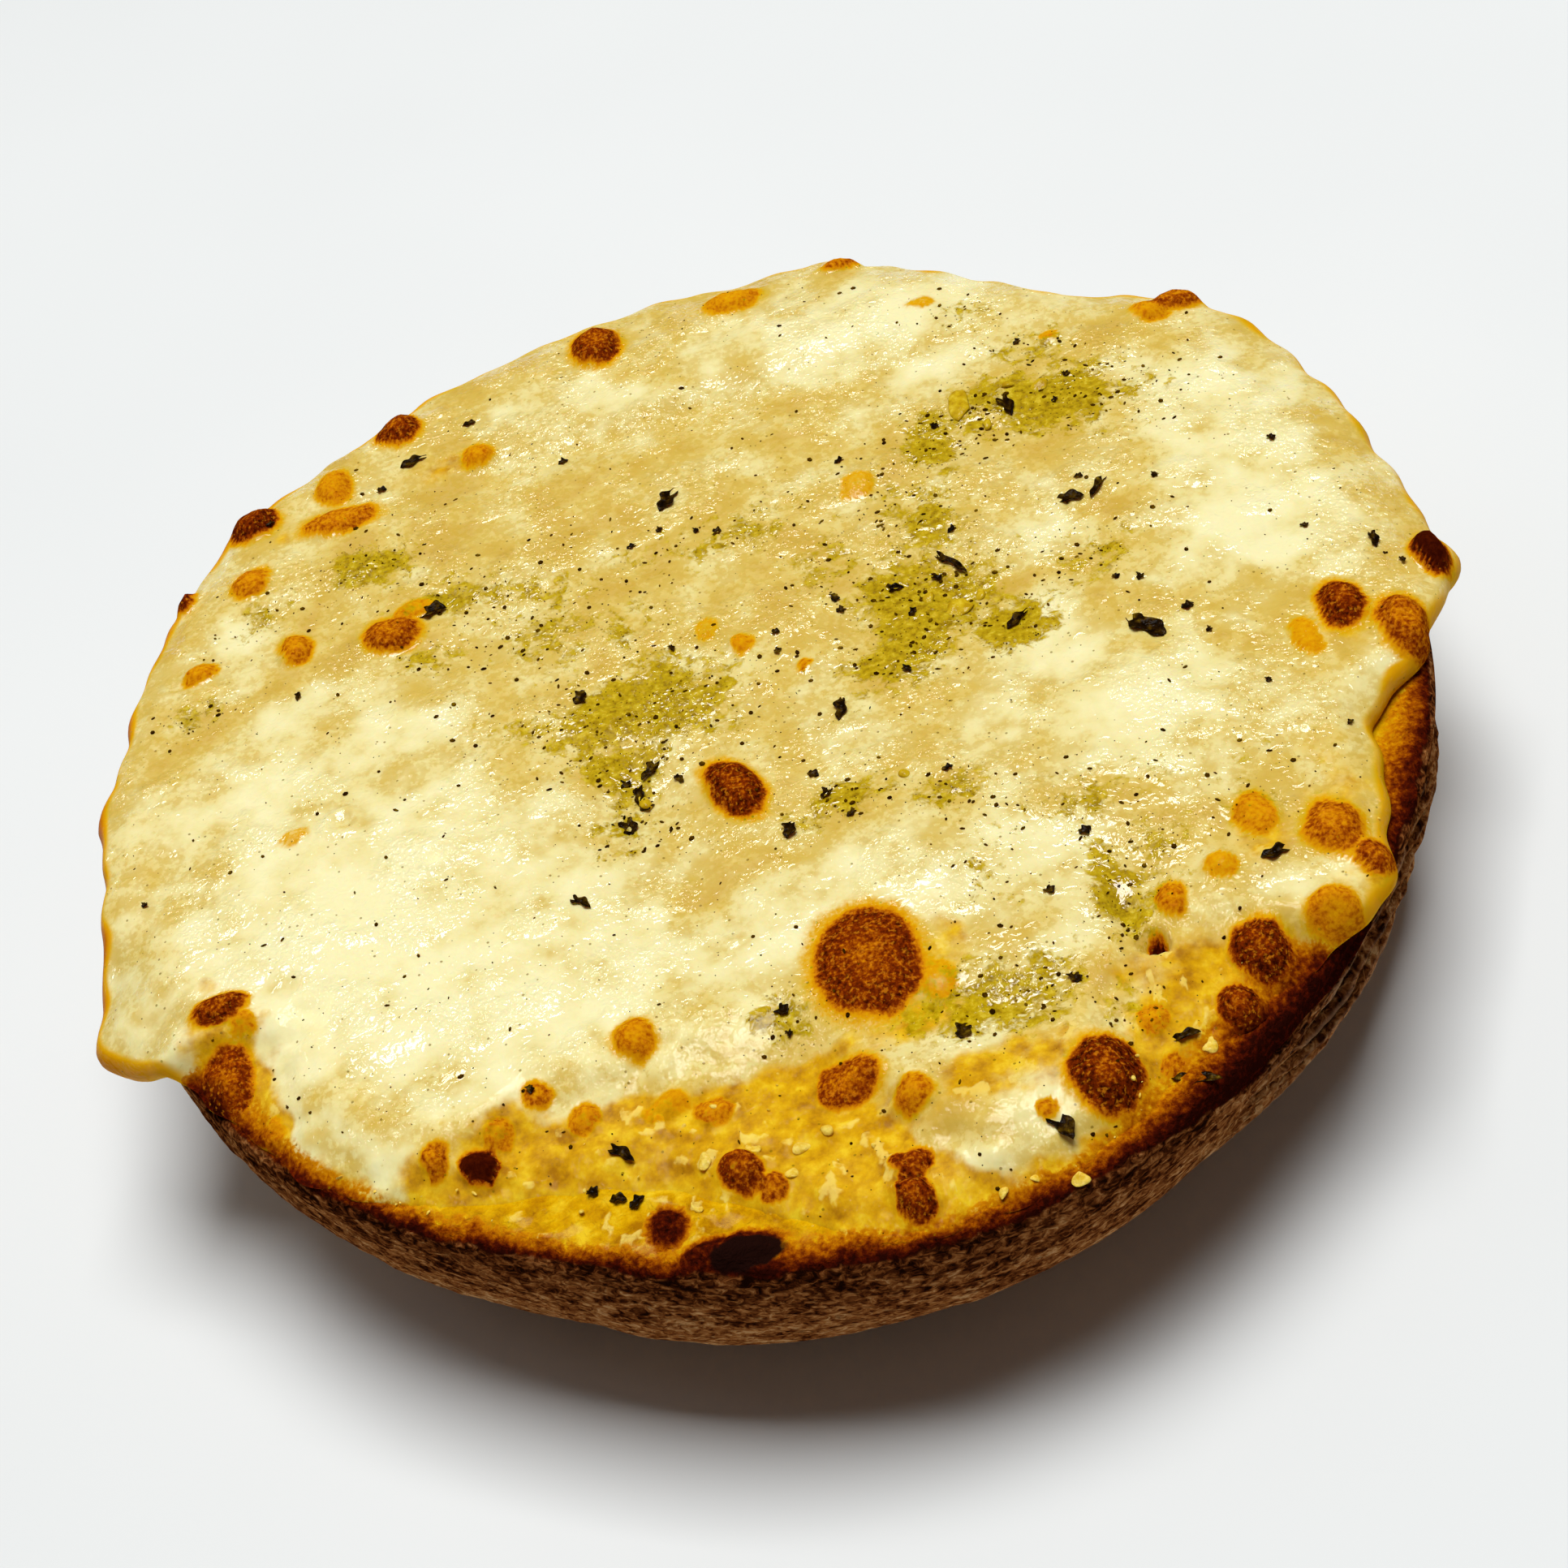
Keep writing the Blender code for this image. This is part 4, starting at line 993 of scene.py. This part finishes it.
class Recipe:
    """A material and short ways of adding to it."""

    def __init__(self, name):
        self.material = bpy.data.materials.new(name)
        self.material.use_nodes = True
        self.tree = self.material.node_tree
        self.shader = self.tree.nodes["Principled BSDF"]
        self.place = self.node("ShaderNodeTexCoord").outputs["Object"]

    def feed(self, socket, value):
        if isinstance(value, bpy.types.NodeSocket):
            self.tree.links.new(value, socket)
        else:
            socket.default_value = value

    def node(self, kind, inputs=(), **settings):
        """A new node with its settings, and a number or another node's output for each input."""
        made = self.tree.nodes.new(kind)
        for key, value in settings.items():
            setattr(made, key, value)
        for key, value in dict(inputs).items():
            self.feed(made.inputs[key], value)
        return made

    def finish(self, obj, **surface):
        """Give the shader its surface, such as Coat_Weight=0.3, and dress the piece."""
        for name, value in surface.items():
            self.feed(self.shader.inputs[name.replace("_", " ")], value)
        obj.data.materials.clear()
        obj.data.materials.append(self.material)
        print(self.material.name, "is made of", len(self.tree.nodes), "nodes")

    def painted(self, name):
        return self.node("ShaderNodeAttribute", attribute_name=name).outputs["Fac"]

    def stretched(self, *scale):
        return self.node("ShaderNodeMapping", {"Vector": self.place, "Scale": scale}).outputs["Vector"]

    def grain(self, size, detail=2.0, roughness=0.5, distortion=0.0, where=None):
        """Noise whose lumps are about `size` millimetres across, from 0 to 1."""
        return self.node("ShaderNodeTexNoise", {
            "Vector": where or self.place, "Scale": 1.0 / (size * MM), "Detail": detail,
            "Roughness": roughness, "Distortion": distortion}).outputs["Fac"]

    def specks(self, spacing, radius, share):
        """Round specks, one to a cell of `spacing` millimetres, in that share of the cells."""
        made = self.node("ShaderNodeTexVoronoi", {"Vector": self.place, "Scale": 1.0 / (spacing * MM)})
        reach = self.shaken(made.outputs["Distance"], self.grain(radius), 0.5 * radius / spacing)
        dot = self.spread(reach, 0.75 * radius / spacing, 1.15 * radius / spacing, 1.0, 0.0)
        chance = self.node("ShaderNodeSeparateColor", {0: made.outputs["Color"]}).outputs[0]
        return self.times(dot, self.maths("LESS_THAN", chance, share))

    def maths(self, operation, *values):
        return self.node("ShaderNodeMath", enumerate(values), operation=operation).outputs[0]

    def times(self, *values):
        return functools.reduce(lambda product, value: self.maths("MULTIPLY", product, value), values)

    def spread(self, value, low, high, to_low=0.0, to_high=1.0):
        """A value from low to high, eased to run from to_low to to_high."""
        return self.node("ShaderNodeMapRange", {
            "Value": value, "From Min": low, "From Max": high, "To Min": to_low, "To Max": to_high},
            interpolation_type="SMOOTHSTEP").outputs["Result"]

    def shaken(self, value, noise_value, amount):
        """A value pushed up and down by noise, in proportion to `amount`."""
        return self.maths("MULTIPLY_ADD", self.maths("SUBTRACT", noise_value, 0.5), amount, value)

    def ramp(self, value, stops):
        made = self.node("ShaderNodeValToRGB", {"Fac": value})
        elements = made.color_ramp.elements
        while len(elements) < len(stops):
            elements.new(0.5)
        for element, (position, colour) in zip(elements, stops):
            element.position = position
            element.color = colour
        return made.outputs["Color"]

    def mix(self, share, first, second, blend="MIX"):
        inputs = {0: share, 6: first, 7: second}
        return self.node("ShaderNodeMix", inputs, data_type="RGBA", blend_type=blend).outputs[2]

    def bump(self, height, depth, strength=1.0, **under):
        """Relief too fine for the mesh; depth is its height in millimetres."""
        inputs = {"Strength": strength, "Distance": depth * MM, "Height": height, **under}
        return self.node("ShaderNodeBump", inputs).outputs["Normal"]


# %% [markdown]
# ## Colours that cheese and crumb share
#
# The golden film and the bare crumb next to it must not show a border, so both
# materials take the same butter yellow and the same path of toasting.

# %% Butter yellow and the path to burnt
def tones(*stops):
    """Colour stops, each a position and the red, green and blue as read off a screen."""
    return [(position, srgb(*colour)) for position, *colour in stops]


def buttered(look):
    """Butter-yellow crumb with paler lumps."""
    base = look.ramp(look.grain(1.7, 4.0, 0.62), tones(
        (0.32, 170, 112, 4), (0.44, 202, 146, 3), (0.55, 220, 168, 6), (0.68, 236, 196, 34)))
    pale = look.spread(look.shaken(look.painted("lumps"), look.grain(0.5), 0.8), 0.55, 0.90, 0.0, 0.7)
    return look.mix(pale, base, srgb(243, 214, 104))


def toasted(look, colour):
    """Lay toast over a colour. Crumbs that stand up caught more heat."""
    toast = look.painted("toast")
    grains = look.maths("SUBTRACT", look.grain(0.45, 3.0, 0.6), 0.5)
    level = look.maths("MULTIPLY_ADD", grains, look.spread(toast, 0.0, 0.3, 0.15, 1.1), toast)
    return look.mix(look.spread(level, 0.02, 0.2), colour, look.ramp(level, tones(
        (0.0, 214, 152, 8), (0.22, 196, 122, 4), (0.42, 160, 82, 3), (0.60, 116, 44, 3),
        (0.78, 76, 18, 4), (1.0, 40, 9, 4))))


BROWNING_PATH = tones(
    (0.0, 230, 190, 70), (0.14, 226, 176, 26), (0.28, 220, 160, 8), (0.42, 210, 138, 7),
    (0.53, 186, 104, 5), (0.63, 152, 70, 4), (0.74, 118, 40, 3), (1.0, 52, 10, 2))
print("browning goes through", len(BROWNING_PATH), "colours")

# %% [markdown]
# ## The finish of the cheese
#
# Melted cheese is pale, slightly see-through and wet with oil. Its colour runs from beige
# where it is thin to cream where it is thick. Over that lie the gold of the film, the
# olive of herb oil with its specks, and the browning of the blisters. Light that sinks in
# and comes out again softens it, and a fine wormy relief breaks the highlight into the
# small glints that hot cheese has.

# %% Melted cheese
def cream_to_beige(look):
    """Cream where it is thick, beige where it is thin, with clusters of small yellow dots."""
    level = look.shaken(look.painted("pale"), look.grain(4.2, 3.0, 0.5), 1.7)
    level = look.maths("MULTIPLY_ADD", look.shaken(level, look.grain(0.8), 0.2), 0.8, 0.2)
    plain = look.ramp(level, tones(
        (0.02, 214, 178, 84), (0.216, 226, 198, 106), (0.40, 234, 215, 138), (0.60, 240, 226, 158),
        (0.88, 249, 239, 182)))
    clusters = look.shaken(look.grain(0.6, 3.0, 0.6), look.grain(4.6, 3.0, 0.6), 0.75)
    dots = look.times(look.spread(clusters, 0.40, 0.56, 0.0, 0.5), look.spread(level, 0.66, 0.36))
    return look.mix(dots, plain, srgb(206, 168, 52))


def herb_oil(look, colour):
    """Olive oil that soaked in with a ragged edge, and specks too small to model."""
    oil = look.painted("oil")
    amount = look.shaken(look.shaken(oil, look.grain(1.2, 4.0, 0.66, 0.5), 1.7), look.grain(0.3), 0.3)
    olive = look.ramp(look.grain(0.6, 4.0, 0.62), tones(
        (0.34, 146, 114, 2), (0.46, 178, 146, 6), (0.58, 196, 164, 16), (0.68, 216, 188, 50)))
    colour = look.mix(look.spread(amount, 0.30, 0.62), colour, olive)
    near = look.spread(oil, 0.0, 0.8, 0.10, 0.6)
    colour = look.mix(look.times(look.specks(0.6, 0.11, near), 0.7), colour, srgb(128, 100, 2))
    return look.mix(look.times(look.specks(0.5, 0.06, near), 0.95), colour, srgb(54, 32, 2))


def browned(look, colour, brown):
    """The path from gold to burnt, which only darkens, and a bright speckle where fat boiled."""
    grainy = look.shaken(brown, look.grain(0.34, 2.0, 0.6), 0.62)
    even = look.spread(brown, 0.98, 0.84, 0.3, 2.1)
    rough = look.times(look.maths("SUBTRACT", grainy, brown), look.times(brown, even))
    level = look.maths("MAXIMUM", look.maths("ADD", brown, rough), look.times(look.painted("lip"), 0.55))
    colour = look.mix(look.spread(level, 0.03, 0.26), colour, look.ramp(level, BROWNING_PATH), "DARKEN")
    boiled = look.times(look.spread(brown, 0.3, 0.5), look.spread(brown, 0.98, 0.84))
    speckle = look.times(look.spread(look.grain(0.36, 2.0, 0.6), 0.53, 0.70), boiled, 0.55)
    return look.mix(speckle, colour, srgb(216, 134, 22))


# %% [markdown]
# ## The cheese, layer on layer
#
# The colours are laid over each other in the order in which they came about. A wet coat
# lies over all, strongest where oil stands, and thin where the cheese browned or drained.

# %% Dress the cheese
def finish_cheese():
    """Colours laid over each other, light that sinks in, and a wet coat where oil stands."""
    look = Recipe("melted cheese")
    brown = look.painted("brown")
    gold = look.spread(look.shaken(look.painted("gold"), look.grain(1.3, 3.0), 0.7), 0.3, 0.8, 0.0, 0.96)
    colour = toasted(look, look.mix(gold, cream_to_beige(look), buttered(look)))
    wet = look.times(
        look.spread(brown, 0.12, 0.34, 1.0, 0.0), look.spread(look.painted("gold"), 0.2, 0.6, 1.0, 0.05),
        look.spread(look.painted("toast"), 0.05, 0.4, 1.0, 0.0),
        look.spread(look.painted("drained"), 0.1, 0.7, 1.0, 0.3),
        look.spread(look.painted("lip"), 0.05, 0.5, 1.0, 0.15))
    lively = look.spread(look.grain(5.5, 2.0, 0.5, 0.3), 0.46, 0.64, 0.14, 1.0)
    worms = look.times(look.grain(0.7, 1.0, 0.4, 1.2), lively)
    look.finish(
        cheese, Base_Color=browned(look, herb_oil(look, colour), brown),
        Roughness=look.spread(brown, 0.2, 0.6, 0.4, 0.8), Specular_IOR_Level=0.0,
        Subsurface_Weight=0.3, Subsurface_Radius=(0.0018, 0.0010, 0.0004), Subsurface_Scale=1.0,
        Normal=look.bump(look.grain(1.4), 0.16, 0.8),
        Coat_Weight=wet, Coat_Roughness=0.09, Coat_IOR=1.6, Coat_Normal=look.bump(worms, 0.55))


finish_cheese()

# %% [markdown]
# ## The finish of the bread
#
# The crumb is butter yellow with paler lumps, and goes through orange to a red-black
# brown at the rim. Below the rim the crust is a dull brown, streaked round the side
# where the skin wrinkled. In the torn seam the crests get a pale painted highlight and
# the creases a painted shade that is nearly black.

# %% Toasted bread
def crust_skin(look, streaks):
    """Brown skin, dark under the rim and paler lower down, with creases, and painted shade and highlight on
    the seam.
    """
    patches = look.grain(3.0, where=look.stretched(1.0, 1.0, 2.0))
    level = look.shaken(look.shaken(streaks, patches, 0.5), look.painted("depth"), 0.30)
    skin = look.ramp(look.maths("ADD", level, 0.06), tones(
        (0.29, 28, 9, 3), (0.40, 76, 34, 12), (0.50, 124, 70, 31), (0.61, 160, 104, 56),
        (0.74, 194, 146, 96)))
    creases = look.spread(look.grain(1.0, 3.0, 0.6, 0.8, look.stretched(0.8, 0.8, 2.0)), 0.56, 0.66, 0.0, 0.5)
    skin = look.mix(creases, skin, srgb(34, 12, 4))
    # The seam's ridge heights paint a pale highlight on the crests and a near-black shade in the creases.
    crest = look.shaken(look.painted("crest"), streaks, 0.3)
    skin = look.mix(look.spread(crest, 0.42, 0.16, 0.0, 0.9), skin, srgb(30, 11, 5))
    return look.mix(look.spread(crest, 0.62, 0.92, 0.0, 0.75), skin, srgb(172, 130, 98))


def finish_bread():
    look = Recipe("toasted bread")
    crust = look.painted("crust_side")
    streaks = look.grain(0.75, 3.0, 0.6, 0.8, look.stretched(1.0, 1.0, 1.5))
    side = look.spread(look.shaken(crust, look.grain(0.8), 0.6), 0.3, 0.7)
    colour = look.mix(side, toasted(look, buttered(look)), crust_skin(look, streaks))
    burnt = look.spread(look.shaken(look.painted("burnt"), look.grain(0.8), 0.9), 0.35, 0.8)
    crumb_wet = look.spread(look.painted("toast"), 0.05, 0.4, 0.1, 0.0)
    wet = look.times(crumb_wet, look.spread(crust, 0.0, 0.3, 1.0, 0.0))
    look.finish(
        bread, Base_Color=look.mix(burnt, colour, srgb(30, 12, 8)),
        Roughness=look.spread(crust, 0.0, 1.0, 0.45, 0.9), Specular_IOR_Level=0.0,
        Subsurface_Weight=0.1, Subsurface_Radius=(0.001, 0.0005, 0.0002), Subsurface_Scale=1.0,
        Coat_Weight=wet, Coat_Roughness=0.15, Coat_IOR=1.45,
        Normal=look.bump(look.grain(0.4), 0.09, 0.8, Normal=look.bump(streaks, 0.36, 0.9)))


finish_bread()

# %% [markdown]
# ## The finish of herbs and bits
#
# Dried herbs go nearly black in hot oil, with an olive tone on some leaves. The pale bits
# are the colour of thin cheese, and the chips that soaked in oil are amber.

# %% Herbs and bits
def finish_small(obj, name, stops, size, roughness, relief, wet):
    """One grainy colour; size is the grain's and relief its height, both in millimetres."""
    look = Recipe(name)
    look.finish(
        obj, Base_Color=look.ramp(look.grain(size, 3.0, 0.6), stops), Roughness=roughness,
        Specular_IOR_Level=0.0, Coat_Weight=wet, Coat_Roughness=0.12,
        Normal=look.bump(look.grain(0.3), relief), Coat_Normal=look.bump(look.grain(0.35), 2.0 * relief))


LEAF_TONES = tones((0.36, 14, 6, 1), (0.50, 34, 18, 2), (0.62, 72, 50, 5), (0.74, 124, 98, 12))
DUST_TONES = tones((0.35, 34, 14, 1), (0.55, 78, 50, 2), (0.72, 134, 102, 6))
CHIP_TONES = tones((0.35, 178, 138, 10), (0.55, 204, 170, 22), (0.72, 224, 196, 58))
BIT_TONES = tones((0.35, 222, 176, 34), (0.6, 240, 212, 96))
finish_small(leaves, "dried leaf", LEAF_TONES, 0.7, 0.8, 0.08, 0.08)
finish_small(stalks, "dried stalk", LEAF_TONES, 0.7, 0.8, 0.05, 0.08)
finish_small(dust, "herb dust", DUST_TONES, 1.0, 0.6, 0.03, 0.0)
finish_small(bits, "pale bit", BIT_TONES, 0.5, 0.5, 0.12, 0.3)
finish_small(chips, "oily chip", CHIP_TONES, 0.8, 0.4, 0.04, 0.3)

# %% [markdown]
# ## The table
#
# The bagel lies on a plain white table, which is part of the stage and not of the piece.

# %% The table
def add_floor():
    floor = added(bpy.ops.mesh.primitive_plane_add, size=3.0)
    floor.name = "table_top"
    look = Recipe("white table")
    whites = [(0.3, (0.80, 0.82, 0.815, 1.0)), (0.7, (0.82, 0.84, 0.835, 1.0))]
    look.finish(floor, Base_Color=look.ramp(look.grain(60.0), whites), Roughness=0.8)


add_floor()

# %% [markdown]
# ## The light
#
# A soft lamp stands high above the bagel, a little behind and to the right, so that the
# shadow falls short and dark towards us and the oil glints. A broad lamp and a dim room
# fill the rest.

# %% The lamps
WORLD_LIGHT = 0.058


def add_lamp(name, direction, distance, size, power):
    """A square soft lamp that faces the bagel."""
    lamp = added(bpy.ops.object.light_add, type="AREA")
    towards = Vector(direction).normalized()
    lamp.name, lamp.location = name, towards * distance
    lamp.data.size, lamp.data.energy = size, power
    lamp.rotation_euler = towards.to_track_quat("Z", "Y").to_euler()
    print(name, "lamp of", power, "W")


add_lamp("key", direction=(0.040, 0.088, 1.0), distance=0.9, size=0.48, power=8.55)
add_lamp("fill", direction=(-0.502, 0.488, 1.0), distance=1.2, size=1.02, power=1.1)
world = bpy.context.scene.world or bpy.data.worlds.new("room")
bpy.context.scene.world = world
world.use_nodes = True
background = world.node_tree.nodes["Background"].inputs
background["Color"].default_value = (1.0, 1.0, 1.0, 1.0)
background["Strength"].default_value = WORLD_LIGHT
bpy.context.scene.view_settings.view_transform = "Standard"

# %% [markdown]
# ## The camera
#
# The picture was taken from 45 degrees up, with the camera rolled to one side. A field
# of view of 30 degrees fits the way the far edge narrows.

# %% Set up the camera
ELEVATION = 44.91
ROLL = -16.01
DISTANCE = 228.27
SHIFT_RIGHT, SHIFT_UP = 1.78, -5.61
FIELD_OF_VIEW = 30.0


def add_camera():
    tipped = Matrix.Rotation(math.radians(90.0 - ELEVATION), 4, "X")
    turned = tipped @ Matrix.Rotation(math.radians(ROLL), 4, "Z")
    offset = turned @ Vector((SHIFT_RIGHT, SHIFT_UP, DISTANCE))
    place = (offset + Vector((*MIDDLE, CUT_HEIGHT))) * MM
    bpy.ops.object.camera_add(location=place, rotation=turned.to_euler())
    camera = bpy.context.object
    camera.data.angle = math.radians(FIELD_OF_VIEW)
    camera.data.clip_start = 0.01
    bpy.context.scene.camera = camera
    print("camera at", [round(value, 4) for value in place])


add_camera()
